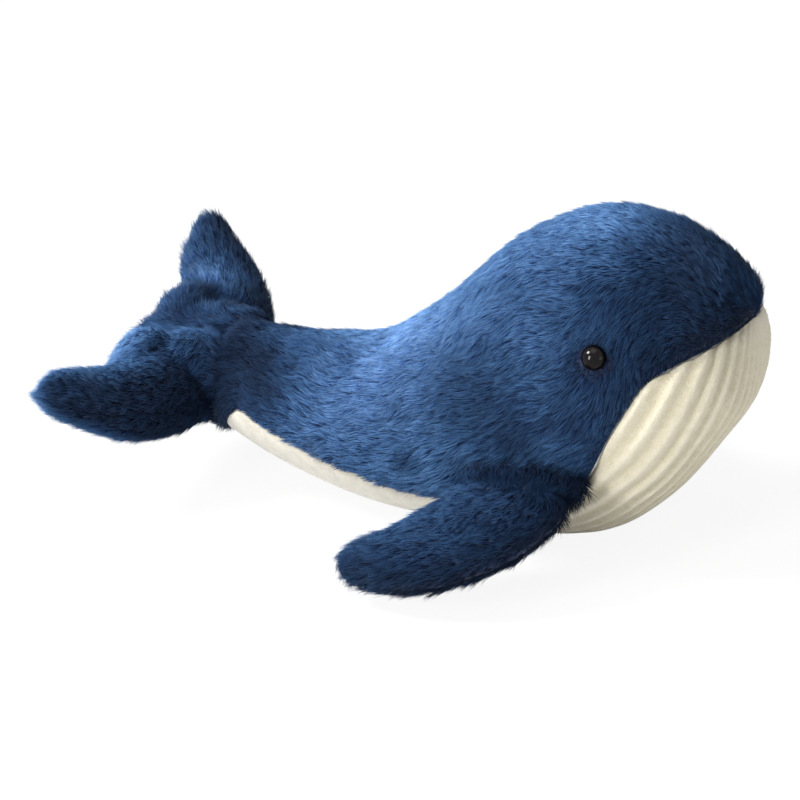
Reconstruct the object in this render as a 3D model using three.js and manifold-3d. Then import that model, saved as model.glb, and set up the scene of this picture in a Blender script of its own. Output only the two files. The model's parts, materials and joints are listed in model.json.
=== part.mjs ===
// A stuffed plush whale lying on its belly, nose to +X, its left side to +Y, in millimetres.
// Two blue fur side panels meet in a seam over the back. A ribbed cream throat panel and a plain cream
// belly panel close them from below. Two flippers and a tail fluke of two lobes are sewn on as separate
// stuffed fins, which swing at their seams, and two domed eyes sit on shanks with lock washers inside.
import * as THREE from "three";
import { mergeVertices } from "three/addons/utils/BufferGeometryUtils.js";
import Module from "manifold-3d";

const wasm = await Module();
wasm.setup();

// Body
const bodyLength = 238;
const headWidth = 112;
const headHeight = 136;
const bodySides = 28;
const bodySteps = 26;
const flatCut = 0.5;

// Fabric and stuffing
const furDepth = 4.5;
const creamInset = 1.2;
const seamGap = 0.3;
const fillingGap = 0.3;
const finSkin = 3.5;
const cutOverrun = 40;
const weldDistance = 0.0001;

// Ribbed throat
const ribTurn = 10.4;
const ribsPerSide = 12;
const ribDepth = 1.6;
const ribTilt = 42;
const ribSamples = 4;
const ribSteps = 11;
const throatBackShare = 0.56;

// Flippers
const flipperRootHalfChord = 28;
const flipperRootRadius = 11;
const flipperChord = 54;
const flipperReach = 66;
const flipperThickness = 20;
const flipperPitch = 4;
const flipperYaw = 5;
const flipperDroop = 23;

// Fluke
const flukeHalfSpan = 81.5;
const flukeReach = 55.8;
const flukeThickness = 34.6;
const flukeTipLift = 22.7;
const flukeRootHalfWidth = 27;
const flukeRootRadius = 18;
const flukeRoll = 8.5;
const flukePitch = 3.2;
const hingeRelief = 5;

// Seam clearance round each fin's root, and the fineness of the fins
const rootGap = 0.45;
const finSides = 14;
const finSteps = 10;
const rootRings = 4;
const rootSides = 20;

// Eyes
const eyeDiameter = 10;
const eyeDomeHeight = 5.2;
const shankDiameter = 3.2;
const shankLength = 10;
const washerDiameter = 14;
const washerThickness = 1.4;
const backingThickness = 1.2;
const eyeSides = 16;

// Places on the body as shares of its length from the tail end, of its half width and of its height
const bodySectionShares = [
  // along, half width, underside, top
  [0.0, 0.0, 0.335, 0.335],
  [0.004, 0.2, 0.25, 0.42],
  [0.03, 0.45, 0.16, 0.48],
  [0.1, 0.58, 0.1, 0.47],
  [0.2, 0.69, 0.04, 0.47],
  [0.32, 0.78, -0.012, 0.505],
  [0.44, 0.86, -0.037, 0.655],
  [0.56, 0.95, -0.04, 0.865],
  [0.68, 1.0, -0.028, 0.985],
  [0.78, 1.0, 0.03, 1.0],
  [0.87, 0.91, 0.165, 0.935],
  [0.94, 0.71, 0.335, 0.83],
  [0.985, 0.41, 0.465, 0.72],
  [1.0, 0.0, 0.6, 0.6],
];
const creamEdgeShares = [
  // along, height
  [1.03, 0.76],
  [0.983, 0.735],
  [0.932, 0.693],
  [0.896, 0.659],
  [0.866, 0.622],
  [0.848, 0.575],
  [0.831, 0.518],
  [0.807, 0.435],
  [0.784, 0.344],
  [0.757, 0.262],
  [0.71, 0.17],
  [0.6, 0.135],
  [0.475, 0.135],
  [0.403, 0.143],
  [0.304, 0.18],
  [0.214, 0.222],
  [0.134, 0.255],
  [0.089, 0.294],
  [-0.1, 0.42],
];
const noseShares = { along: 1.01, height: 0.72 };
const eyeShares = { along: 0.771, height: 0.687 };
const flipperHingeShares = { along: 0.652, out: 0.893, height: 0.272 };
const flukeHingeShares = { along: 0.038, height: 0.3083 };

// The ribs' centre lies back from the nose by a share of the head's height. Their depth rises over the
// first share of their sine, and fades out from a share of their length.
const ribCentreShare = 0.551;
const ribRiseShare = 0.5;
const ribFadeStartShare = 0.55;

// Fin outlines as shares of the fin's own sizes, from root to tip
const flipperRowShares = [
  // leading edge: forward, out; trailing edge: forward, out; thickness
  [0.42, 0.25, -0.54, 0.17, 0.84],
  [0.32, 0.48, -0.69, 0.35, 0.96],
  [0.13, 0.7, -0.86, 0.54, 1.0],
  [-0.16, 0.88, -1.0, 0.71, 0.93],
  [-0.5, 0.99, -1.06, 0.84, 0.75],
  [-0.76, 1.02, -1.04, 0.92, 0.44],
];
const flipperTipShares = [-0.93, 1.0];
const flukeRowShares = [
  // leading edge: back, out; trailing edge: back, out; thickness, lift
  [0.0, -0.13, 0.62, -0.32, 0.89, -0.11],
  [-0.04, 0.15, 0.92, -0.03, 0.97, 0.04],
  [-0.01, 0.42, 0.94, 0.16, 0.99, 0.09],
  [0.12, 0.61, 0.89, 0.38, 0.96, 0.17],
  [0.31, 0.77, 0.88, 0.54, 0.88, 0.33],
  [0.53, 0.89, 0.91, 0.68, 0.76, 0.59],
  [0.78, 1.0, 0.98, 0.84, 0.51, 0.89],
];
const flukeTipShares = [0.96, 0.99, 0.95];

const blueFur = new THREE.MeshStandardMaterial({ color: 0x2f4f86, roughness: 0.9, metalness: 0 });
const creamRib = new THREE.MeshStandardMaterial({ color: 0xe9e3cf, roughness: 0.95, metalness: 0 });
const creamNap = new THREE.MeshStandardMaterial({ color: 0xf2ecdf, roughness: 0.95, metalness: 0 });
const fibre = new THREE.MeshStandardMaterial({ color: 0xf7f7f4, roughness: 1, metalness: 0 });
const eyePlastic = new THREE.MeshStandardMaterial({ color: 0x0b0908, roughness: 0.08, metalness: 0 });
const washerPlastic = new THREE.MeshStandardMaterial({ color: 0xe8e8e4, roughness: 0.5, metalness: 0 });

// Keeps a geometry's places alone, with the points that lie on each other joined.
function welded(geometry) {
  const bare = geometry.clone();
  bare.deleteAttribute("normal");
  bare.deleteAttribute("uv");
  return mergeVertices(bare, weldDistance);
}

// Turns a closed geometry into a solid that can be cut and joined.
function solidOf(geometry) {
  const merged = welded(geometry);
  return new wasm.Manifold(
    new wasm.Mesh({
      numProp: 3,
      vertProperties: merged.attributes.position.array,
      triVerts: new Uint32Array(merged.index.array),
    }),
  );
}

// Turns a cut solid back into a geometry.
function geometryOf(solid) {
  const mesh = solid.getMesh();
  const geometry = new THREE.BufferGeometry();
  geometry.setAttribute("position", new THREE.BufferAttribute(new Float32Array(mesh.vertProperties), 3));
  geometry.setIndex(new THREE.BufferAttribute(new Uint32Array(mesh.triVerts), 1));
  return geometry;
}

// Reads a table of rows as smooth curves, one per column.
function smoothRows(rows, steps) {
  const result = [];
  for (let step = 0; step <= steps; step += 1) {
    const place = (step / steps) * (rows.length - 1);
    const start = Math.min(Math.floor(place), rows.length - 2);
    const share = place - start;
    const pick = (index) => rows[Math.max(0, Math.min(rows.length - 1, index))];
    result.push(
      rows[0].map((_, column) => {
        const before = pick(start - 1)[column];
        const from = pick(start)[column];
        const to = pick(start + 1)[column];
        const after = pick(start + 2)[column];
        const leave = (to - before) / 2;
        const arrive = (after - from) / 2;
        const square = share * share;
        const cube = square * share;
        return (
          from * (2 * cube - 3 * square + 1) +
          leave * (cube - 2 * square + share) +
          to * (3 * square - 2 * cube) +
          arrive * (cube - square)
        );
      }),
    );
  }
  return result;
}

// Joins rings of points into one closed skin, with a single point at each end.
function loft(first, rings, last) {
  const sides = rings[0].length;
  const points = [first, ...rings.flat(), last];
  const index = [];
  const at = (ring, side) => 1 + ring * sides + (side % sides);
  for (let side = 0; side < sides; side += 1) {
    index.push(0, at(0, side + 1), at(0, side));
    index.push(points.length - 1, at(rings.length - 1, side), at(rings.length - 1, side + 1));
    for (let ring = 0; ring < rings.length - 1; ring += 1) {
      const a = at(ring, side);
      const b = at(ring, side + 1);
      const c = at(ring + 1, side);
      const d = at(ring + 1, side + 1);
      index.push(a, b, d, a, d, c);
    }
  }
  const geometry = new THREE.BufferGeometry().setFromPoints(points);
  geometry.setIndex(index);
  return geometry;
}

// Moves a closed skin inwards, along its own smooth normals.
function inset(geometry, depth) {
  const result = welded(geometry);
  result.computeVertexNormals();
  const position = result.attributes.position;
  const normal = result.attributes.normal;
  for (let index = 0; index < position.count; index += 1) {
    position.setXYZ(
      index,
      position.getX(index) - normal.getX(index) * depth,
      position.getY(index) - normal.getY(index) * depth,
      position.getZ(index) - normal.getZ(index) * depth,
    );
  }
  return result;
}

// A block between two corners.
function block(low, high) {
  const size = new THREE.Vector3().subVectors(high, low);
  const geometry = new THREE.BoxGeometry(size.x, size.y, size.z);
  geometry.translate(low.x + size.x / 2, low.y + size.y / 2, low.z + size.z / 2);
  return solidOf(geometry);
}

// The body's outer form: a ball of a head that runs back into a slim tail stem.
function bodyForm() {
  const rows = smoothRows(bodySectionShares, bodySteps);
  const ring = ([along, half, under, top]) => {
    const points = [];
    for (let side = 0; side < bodySides; side += 1) {
      const turn = (side / bodySides) * 2 * Math.PI;
      const middle = ((under + top) / 2) * headHeight;
      points.push(
        new THREE.Vector3(
          along * bodyLength,
          (Math.cos(turn) * half * headWidth) / 2,
          middle + (Math.sin(turn) * (top - under) * headHeight) / 2,
        ),
      );
    }
    return points;
  };
  const end = ([along, , under]) => new THREE.Vector3(along * bodyLength, 0, under * headHeight);
  return loft(end(rows[0]), rows.slice(1, -1).map(ring), end(rows[rows.length - 1]));
}

// A body of revolution about X: the round root of a fin, or, with a gap, the seat cut for it.
function rootForm(halfChord, radius, gap) {
  const geometry = new THREE.SphereGeometry(1, rootSides, rootSides / 2);
  geometry.rotateZ(Math.PI / 2);
  geometry.scale(halfChord + gap, radius + gap, radius + gap);
  return geometry;
}

// One elliptical ring between a leading and a trailing point.
function finRing(lead, trail, halfThickness) {
  const points = [];
  const middle = new THREE.Vector3().addVectors(lead, trail).divideScalar(2);
  const chord = new THREE.Vector3().subVectors(lead, trail).divideScalar(2);
  for (let side = 0; side < finSides; side += 1) {
    const turn = (side / finSides) * 2 * Math.PI;
    const point = middle.clone().addScaledVector(chord, Math.cos(turn));
    point.z -= Math.sin(turn) * halfThickness;
    points.push(point);
  }
  return points;
}

// The left flipper about its seam: X forward along the seam, Y outward. Its root is a body of revolution
// about the seam, so that it turns in its seat, and the paddle pinches there before it swells.
function flipperForm() {
  const rings = [];
  const neckTurn = Math.asin((flipperRowShares[0][4] * flipperThickness) / 2 / flipperRootRadius);
  for (let step = 1; step <= rootRings; step += 1) {
    const turn = (step / rootRings) * (Math.PI - neckTurn);
    const out = -Math.cos(turn) * flipperRootRadius;
    const half = Math.sin(turn) * flipperRootHalfChord;
    rings.push([half, out, -half, out, Math.sin(turn) * flipperRootRadius]);
  }
  const rows = flipperRowShares.map(([leadX, leadY, trailX, trailY, thickness]) => [
    leadX * flipperChord,
    leadY * flipperReach,
    trailX * flipperChord,
    trailY * flipperReach,
    (thickness * flipperThickness) / 2,
  ]);
  const tip = [
    flipperTipShares[0] * flipperChord,
    flipperTipShares[1] * flipperReach,
    flipperTipShares[0] * flipperChord,
    flipperTipShares[1] * flipperReach,
    0,
  ];
  const smooth = smoothRows([rings[rings.length - 1], ...rows, tip], finSteps);
  const all = [...rings, ...smooth.slice(1, -1)];
  return loft(
    new THREE.Vector3(0, -flipperRootRadius, 0),
    all.map(([leadX, leadY, trailX, trailY, half]) =>
      finRing(new THREE.Vector3(leadX, leadY, 0), new THREE.Vector3(trailX, trailY, 0), half),
    ),
    new THREE.Vector3(tip[0], tip[1], 0),
  );
}

// The left lobe of the fluke about its seam: Y outward along the seam, X forward.
function lobeForm() {
  const rows = flukeRowShares.map(([leadBack, leadOut, trailBack, trailOut, thickness, lift]) => [
    -leadBack * flukeReach,
    leadOut * flukeHalfSpan,
    -trailBack * flukeReach,
    trailOut * flukeHalfSpan,
    (thickness * flukeThickness) / 2,
    lift * flukeTipLift,
  ]);
  const tip = [
    -flukeTipShares[0] * flukeReach,
    flukeTipShares[1] * flukeHalfSpan,
    -flukeTipShares[0] * flukeReach,
    flukeTipShares[1] * flukeHalfSpan,
    0,
    flukeTipShares[2] * flukeTipLift,
  ];
  const smooth = smoothRows([...rows, tip], finSteps).slice(0, -1);
  const first = new THREE.Vector3(
    (smooth[0][0] + smooth[0][2]) / 2,
    (smooth[0][1] + smooth[0][3]) / 2,
    smooth[0][5],
  );
  return loft(
    first,
    smooth.map(([leadX, leadY, trailX, trailY, half, lift]) =>
      finRing(new THREE.Vector3(leadX, leadY, lift), new THREE.Vector3(trailX, trailY, lift), half),
    ),
    new THREE.Vector3(tip[0], tip[1], tip[5]),
  );
}

// The side view below the seam line, where the fabric is cream.
function creamRegion(lift) {
  const edge = new THREE.SplineCurve(
    creamEdgeShares.map(([along, height]) => new THREE.Vector2(along * bodyLength, height * headHeight)),
  ).getPoints(creamEdgeShares.length * 2);
  const shape = new THREE.Shape(edge);
  shape.lineTo(edge[edge.length - 1].x, -cutOverrun);
  shape.lineTo(edge[0].x, -cutOverrun);
  const geometry = new THREE.ExtrudeGeometry(shape, { depth: headWidth + cutOverrun, bevelEnabled: false });
  geometry.rotateX(Math.PI / 2);
  geometry.translate(-lift, (headWidth + cutOverrun) / 2, lift);
  return solidOf(geometry);
}

// The throat's ribs run like meridians from the nose to the chest. They are draped on the body's form:
// each point is found along a line from a centre inside the head.
function ribbedForm(skin) {
  const target = new THREE.Mesh(skin, new THREE.MeshBasicMaterial({ side: THREE.DoubleSide }));
  const tilt = THREE.MathUtils.degToRad(ribTilt);
  const axis = new THREE.Vector3(Math.cos(tilt), 0, Math.sin(tilt));
  const down = new THREE.Vector3(Math.sin(tilt), 0, -Math.cos(tilt));
  const nose = new THREE.Vector3(noseShares.along * bodyLength, 0, noseShares.height * headHeight);
  const centre = nose.addScaledVector(axis, -ribCentreShare * headHeight);
  const raycaster = new THREE.Raycaster();
  const columns = 2 * ribsPerSide * ribSamples;
  const place = (step, column) => {
    const turn = THREE.MathUtils.degToRad((column / ribSamples - ribsPerSide) * ribTurn);
    const swing = (step / ribSteps) * Math.PI;
    const direction = axis.clone().multiplyScalar(Math.cos(swing));
    direction.addScaledVector(down, Math.sin(swing) * Math.cos(turn));
    direction.y += Math.sin(swing) * Math.sin(turn);
    raycaster.set(centre, direction.normalize());
    const reach = raycaster.intersectObject(target)[0].distance;
    const wave = (1 - Math.cos((column / ribSamples) * 2 * Math.PI)) / 2;
    const fade = 1 - THREE.MathUtils.smoothstep(step / ribSteps, ribFadeStartShare, 1);
    const depth = ribDepth * wave * fade * Math.min(1, Math.sin(swing) / ribRiseShare);
    return centre.clone().addScaledVector(direction, reach - depth);
  };
  const strips = [];
  for (let column = 0; column <= columns; column += 1) {
    const strip = [];
    for (let step = 1; step < ribSteps; step += 1) strip.push(place(step, column));
    strips.push(strip);
  }
  const front = place(0, 0);
  const back = place(ribSteps, 0);
  const points = [centre, front, back, ...strips.flat()];
  const index = [];
  const at = (column, step) => 3 + column * (ribSteps - 1) + step;
  for (let column = 0; column < columns; column += 1) {
    index.push(1, at(column, 0), at(column + 1, 0));
    index.push(2, at(column + 1, ribSteps - 2), at(column, ribSteps - 2));
    for (let step = 0; step < ribSteps - 2; step += 1) {
      index.push(at(column, step), at(column, step + 1), at(column + 1, step + 1));
      index.push(at(column, step), at(column + 1, step + 1), at(column + 1, step));
    }
  }
  for (const [column, flip] of [[0, false], [columns, true]]) {
    const fan = (a, b) => (flip ? index.push(0, b, a) : index.push(0, a, b));
    fan(at(column, 0), 1);
    fan(2, at(column, ribSteps - 2));
    for (let step = 0; step < ribSteps - 2; step += 1) fan(at(column, step + 1), at(column, step));
  }
  const geometry = new THREE.BufferGeometry().setFromPoints(points);
  geometry.setIndex(index);
  return solidOf(geometry);
}

// One eye with its shank, and the lock washer that holds it, about the point where its back lies on the
// fabric. X points out of the head.
function eyeForm() {
  const radius = eyeDiameter / 2;
  const profile = [new THREE.Vector2(0, -shankLength)];
  profile.push(new THREE.Vector2(shankDiameter / 2, -shankLength));
  profile.push(new THREE.Vector2(shankDiameter / 2, 0));
  const arcSteps = 5;
  for (let step = 0; step <= arcSteps; step += 1) {
    const turn = (step / arcSteps) * (Math.PI / 2);
    profile.push(new THREE.Vector2(Math.cos(turn) * radius, Math.sin(turn) * eyeDomeHeight));
  }
  const geometry = new THREE.LatheGeometry(profile, eyeSides);
  geometry.rotateZ(-Math.PI / 2);
  return geometry;
}

function washerForm() {
  const bore = shankDiameter / 2 + seamGap;
  const rim = washerDiameter / 2;
  const geometry = new THREE.LatheGeometry(
    [
      new THREE.Vector2(bore, 0),
      new THREE.Vector2(rim, 0),
      new THREE.Vector2(rim, washerThickness),
      new THREE.Vector2(bore, washerThickness),
      new THREE.Vector2(bore, 0),
    ],
    eyeSides,
  );
  geometry.rotateZ(-Math.PI / 2);
  return geometry;
}

// A round cutter along X between two places.
function drill(from, to, diameter) {
  const geometry = new THREE.CylinderGeometry(diameter / 2, diameter / 2, to - from, eyeSides);
  geometry.rotateZ(-Math.PI / 2);
  geometry.translate((from + to) / 2, 0, 0);
  return geometry;
}

// A geometry as a solid in the whale's frame, wherever its group stands.
function solidIn(group, geometry) {
  group.updateWorldMatrix(true, false);
  const placed = geometry.clone().applyMatrix4(group.matrixWorld);
  if (group.matrixWorld.determinant() < 0) {
    const index = placed.index.array;
    for (let corner = 0; corner < index.length; corner += 3) {
      [index[corner + 1], index[corner + 2]] = [index[corner + 2], index[corner + 1]];
    }
  }
  return solidOf(placed);
}

function addPart(parent, name, solidOrGeometry, material) {
  const geometry = solidOrGeometry.isBufferGeometry ? solidOrGeometry : geometryOf(solidOrGeometry);
  const mesh = new THREE.Mesh(geometry, material);
  mesh.name = name;
  parent.add(mesh);
}

const whale = new THREE.Group();
const reach = bodyLength + headWidth + headHeight;
const leftHalf = block(new THREE.Vector3(-reach, seamGap / 2, -reach), new THREE.Vector3(reach, reach, reach));
const rightHalf = leftHalf.mirror([0, 1, 0]);
const upperHalf = block(new THREE.Vector3(-reach, -reach, seamGap / 2), new THREE.Vector3(reach, reach, reach));
const lowerHalf = upperHalf.mirror([0, 0, 1]);
const hands = [
  [1, "left", leftHalf],
  [-1, "right", rightHalf],
];

// Each fin is two skins round a filling, and is split from its form by the seam at its edge.
function addFin(parent, name, outer, inner, filling) {
  const shell = outer.subtract(inner);
  addPart(parent, name + "_upper_skin", shell.intersect(upperHalf), blueFur);
  addPart(parent, name + "_lower_skin", shell.intersect(lowerHalf), blueFur);
  addPart(parent, name + "_filling", filling, fibre);
}

const finFilling = finSkin + fillingGap;
const seats = [];

for (const [hand, label] of hands) {
  const side = new THREE.Group();
  side.scale.y = hand;
  whale.add(side);
  const seat = new THREE.Group();
  seat.position.set(
    flipperHingeShares.along * bodyLength,
    (flipperHingeShares.out * headWidth) / 2,
    flipperHingeShares.height * headHeight,
  );
  seat.rotation.set(
    THREE.MathUtils.degToRad(-flipperDroop),
    THREE.MathUtils.degToRad(-flipperPitch),
    THREE.MathUtils.degToRad(flipperYaw),
    "ZYX",
  );
  side.add(seat);
  const form = flipperForm();
  addFin(seat, "flipper_" + label, solidOf(form), solidOf(inset(form, finSkin)), solidOf(inset(form, finFilling)));
  seats.push(solidIn(seat, rootForm(flipperRootHalfChord, flipperRootRadius, rootGap)));
}

// The fluke swings about a seam across the tail. Behind the seam the tail ends in a flat with a round seat.
const flukeSeat = new THREE.Group();
flukeSeat.position.set(flukeHingeShares.along * bodyLength, 0, flukeHingeShares.height * headHeight);
flukeSeat.rotation.set(THREE.MathUtils.degToRad(flukeRoll), THREE.MathUtils.degToRad(flukePitch), 0);
whale.add(flukeSeat);
const flukeRoot = rootForm(flukeRootHalfWidth, flukeRootRadius, 0).rotateZ(Math.PI / 2);
const flukeRootSeat = rootForm(flukeRootHalfWidth, flukeRootRadius, rootGap).rotateZ(Math.PI / 2);
seats.push(solidIn(flukeSeat, flukeRootSeat));
const lobe = lobeForm();
const lobeRight = solidOf(lobe).mirror([0, 1, 0]);
for (const [, label, half] of hands) {
  const own = label === "left" ? (geometry) => solidOf(geometry) : (geometry) => solidOf(geometry).mirror([0, 1, 0]);
  const layer = (depth) => own(inset(lobe, depth)).add(solidOf(inset(flukeRoot, depth))).intersect(half);
  const shell = layer(0);
  const inner = layer(finSkin);
  addFin(flukeSeat, "fluke_" + label, shell, inner, layer(finFilling));
}

// Body: fur over a lining, cream set in a little, filling inside
const bodyOuter = bodyForm();
const lining = solidOf(inset(bodyOuter, furDepth));
const seatCuts = seats.reduce((all, seat) => all.add(seat));
const tailEnd = flukeHingeShares.along * bodyLength + hingeRelief;
const bodyCut = seatCuts.add(
  block(new THREE.Vector3(-reach, -reach, -reach), new THREE.Vector3(tailEnd, reach, reach)),
);
const lowest = Math.min(...bodySectionShares.map(([, , under]) => under)) * headHeight;
const floorHeight = lowest + creamInset + flatCut;
const floorCut = block(new THREE.Vector3(-reach, -reach, -reach), new THREE.Vector3(reach, reach, floorHeight));
const cream = creamRegion(0);
const creamForm = inset(bodyOuter, creamInset);
const throatBack = throatBackShare * bodyLength;
const throatZone = block(
  new THREE.Vector3(throatBack + seamGap / 2, -reach, -reach),
  new THREE.Vector3(reach, reach, reach),
);
const bellyZone = block(
  new THREE.Vector3(-reach, -reach, -reach),
  new THREE.Vector3(throatBack - seamGap / 2, reach, reach),
);

const eyeCuts = [];
const eyeHoles = [];
for (const [hand, label] of hands) {
  const side = new THREE.Group();
  side.scale.y = hand;
  whale.add(side);
  const seat = new THREE.Group();
  side.add(seat);
  const eyeLine = new THREE.Raycaster(
    new THREE.Vector3(eyeShares.along * bodyLength, reach, eyeShares.height * headHeight),
    new THREE.Vector3(0, -1, 0),
  );
  const hit = eyeLine.intersectObject(new THREE.Mesh(bodyOuter, blueFur))[0];
  const outward = hit.face.normal.clone();
  seat.position.copy(hit.point).addScaledVector(outward, backingThickness + seamGap - furDepth);
  seat.quaternion.setFromUnitVectors(new THREE.Vector3(1, 0, 0), outward);
  addPart(seat, "eye_" + label, eyeForm(), eyePlastic);
  const washerPlace = -(backingThickness + seamGap + seamGap + washerThickness);
  addPart(seat, "eye_washer_" + label, washerForm().translate(washerPlace, 0, 0), washerPlastic);
  eyeHoles.push(solidIn(seat, drill(-shankLength - seamGap, cutOverrun / 2, shankDiameter + 2 * seamGap)));
  eyeHoles.push(solidIn(seat, drill(-seamGap, cutOverrun / 2, eyeDiameter + 2 * seamGap)));
  const pocketTop = -(backingThickness + seamGap);
  eyeCuts.push(solidIn(seat, drill(washerPlace - seamGap, pocketTop, washerDiameter + 2 * seamGap)));
}
const holes = eyeHoles.reduce((all, hole) => all.add(hole));
const washerPockets = eyeCuts.reduce((all, cut) => all.add(cut));

const bodyHoles = bodyCut.add(holes).add(washerPockets);
const fur = solidOf(bodyOuter).subtract(lining).subtract(creamRegion(seamGap)).subtract(bodyHoles);
for (const [, label, half] of hands) addPart(whale, "side_panel_" + label, fur.intersect(half), blueFur);

const creamSkin = cream.subtract(lining).subtract(bodyCut).subtract(floorCut);
addPart(whale, "throat_panel", ribbedForm(creamForm).intersect(creamSkin).intersect(throatZone), creamRib);
addPart(whale, "belly_panel", solidOf(creamForm).intersect(creamSkin).intersect(bellyZone), creamNap);
const stuffing = solidOf(inset(bodyOuter, furDepth + fillingGap)).subtract(bodyHoles);
addPart(whale, "body_filling", stuffing, fibre);

// The frame's origin lies on the floor, under the middle of the whale.
const extent = new THREE.Box3().setFromObject(whale, true);
whale.position.set(-(extent.min.x + extent.max.x) / 2, 0, -floorHeight);

export default whale;
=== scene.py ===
# A stuffed plush whale: blue pile fabric above, a ribbed cream throat and a plain cream belly below.
# The file follows the toy as it is sewn: stuffing, cream panels, eyes, blue panels and their pile, flippers,
# fluke, and then the stage that it lies on. All lengths are in metres.
import json
import math

import bmesh
import bpy
import numpy as np
from mathutils import Euler, Matrix, Vector, noise
from mathutils.bvhtree import BVHTree


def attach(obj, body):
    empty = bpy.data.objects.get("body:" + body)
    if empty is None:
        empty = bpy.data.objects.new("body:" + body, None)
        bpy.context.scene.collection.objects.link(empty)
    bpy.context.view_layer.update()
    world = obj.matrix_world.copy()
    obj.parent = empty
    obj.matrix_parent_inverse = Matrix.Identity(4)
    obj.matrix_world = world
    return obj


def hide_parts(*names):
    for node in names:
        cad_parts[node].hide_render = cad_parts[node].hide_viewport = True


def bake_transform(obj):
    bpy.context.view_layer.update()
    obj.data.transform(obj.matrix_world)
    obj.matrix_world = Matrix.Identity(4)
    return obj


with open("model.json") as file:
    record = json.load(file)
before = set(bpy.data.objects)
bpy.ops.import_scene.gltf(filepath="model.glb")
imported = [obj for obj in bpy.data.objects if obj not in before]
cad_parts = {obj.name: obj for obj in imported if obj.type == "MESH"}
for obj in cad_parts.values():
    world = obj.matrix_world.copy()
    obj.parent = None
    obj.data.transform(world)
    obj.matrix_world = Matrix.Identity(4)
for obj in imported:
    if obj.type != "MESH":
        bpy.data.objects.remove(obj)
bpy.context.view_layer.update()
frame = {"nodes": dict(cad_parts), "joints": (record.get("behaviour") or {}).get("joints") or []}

# Body stuffing
# Loose siliconised polyester fibre, blown in through a gap in the belly seam. It fills a round head and a
# slim tail stem, and every panel of the skin takes its form from it.
body_length = 0.238
head_width = 0.112
head_height = 0.136
body_sections = np.array([
    # along, half width, underside, top, as shares of the length, half the width and the height
    [0.0, 0.0, 0.335, 0.335],
    [0.004, 0.2, 0.25, 0.42],
    [0.03, 0.45, 0.16, 0.48],
    [0.1, 0.58, 0.1, 0.47],
    [0.2, 0.69, 0.04, 0.47],
    [0.32, 0.78, -0.012, 0.505],
    [0.44, 0.86, -0.037, 0.655],
    [0.56, 0.95, -0.04, 0.865],
    [0.68, 1.0, -0.028, 0.985],
    [0.78, 1.0, 0.03, 1.0],
    [0.87, 0.91, 0.165, 0.935],
    [0.94, 0.71, 0.335, 0.83],
    [0.985, 0.41, 0.465, 0.72],
    [1.0, 0.0, 0.6, 0.6],
])
nose_end_place = len(body_sections) - 1 - 0.005
joints = {joint["name"]: joint for joint in frame["joints"]}
fluke_seam = np.array(joints["fluke_bend"]["pos_m"])
fluke_seam_along_share = 0.038
fluke_seam_height_share = 0.3083
body_origin = fluke_seam - [fluke_seam_along_share * body_length, 0, fluke_seam_height_share * head_height]
stem_past_seam = 0.005
tail_end = fluke_seam_along_share * body_length + stem_past_seam
# Behind the tail's end the skin goes on as a sleeve that flattens and runs in between the fluke's lobes
sleeve_length = 0.018
sleeve_half_width = 0.026
sleeve_half_height = 0.0145
fluke_roll = math.radians(8.5)
stuffing_depth = 0.0049
stuffing_seat_gap = 0.0006
flipper_root_half_chord = 0.028
flipper_root_radius = 0.011
flipper_root_sizes = np.array([flipper_root_half_chord, flipper_root_radius, flipper_root_radius])
flipper_turn = Euler((math.radians(-23), math.radians(-4), math.radians(5)), "XYZ").to_matrix()
both_sides = ((1, "left"), (-1, "right"))


def linear(code):
    """Turns an sRGB hex colour to the linear numbers that a shader takes."""
    parts = [int(code[i : i + 2], 16) / 255 for i in (1, 3, 5)]
    return [p / 12.92 if p <= 0.04045 else ((p + 0.055) / 1.055) ** 2.4 for p in parts] + [1.0]


def add_node(tree, kind, inputs=None, **settings):
    """Adds a node with its settings, and returns its outputs.

    Inputs go by name or number, as values or as sockets to link.
    """
    node = tree.nodes.new(kind)
    for name, value in settings.items():
        setattr(node, name, value)
    usable = [socket for socket in node.inputs if socket.enabled]
    for key, value in (inputs or {}).items():
        socket = usable[key] if isinstance(key, int) else next(s for s in usable if s.name == key)
        if isinstance(value, bpy.types.NodeSocket):
            tree.links.new(value, socket)
        else:
            socket.default_value = value
    return [socket for socket in node.outputs if socket.enabled]


def new_material(name):
    """An empty node material, its tree and its output's surface socket."""
    material = bpy.data.materials.new(name)
    material.use_nodes = True
    tree = material.node_tree
    tree.nodes.clear()
    return material, tree, tree.nodes.new("ShaderNodeOutputMaterial").inputs["Surface"]


def cover(tree, surface, height, relief, strength, factor, colours, finish):
    """Covers a surface in a relief and a colour that changes between two, with the shader's own settings."""
    bump = add_node(tree, "ShaderNodeBump", {"Height": height, "Distance": relief, "Strength": strength})[0]
    dark, light = (linear(code) for code in colours)
    colour = add_node(tree, "ShaderNodeMix", {"Factor": factor, "A": dark, "B": light}, data_type="RGBA")[0]
    shade = add_node(tree, "ShaderNodeBsdfPrincipled", {"Base Color": colour, "Normal": bump, **finish})[0]
    tree.links.new(shade, surface)


def read_rows(table, places):
    """Reads a table as smooth curves, one for each column, at row numbers that may fall between rows."""
    places = np.clip(places, 0, len(table) - 1)
    start = np.minimum(places.astype(int), len(table) - 2)
    s = (places - start)[..., None]
    before, here = table[np.maximum(start - 1, 0)], table[start]
    after, beyond = table[start + 1], table[np.minimum(start + 2, len(table) - 1)]
    leave, arrive = (after - before) / 2, (beyond - here) / 2
    cube, square = s**3, s**2
    return (
        here * (2 * cube - 3 * square + 1)
        + leave * (cube - 2 * square + s)
        + after * (3 * square - 2 * cube)
        + arrive * (cube - square)
    )


def unit(vectors):
    """The directions of vectors."""
    return vectors / np.maximum(np.linalg.norm(vectors, axis=-1, keepdims=True), 1e-12)


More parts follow.
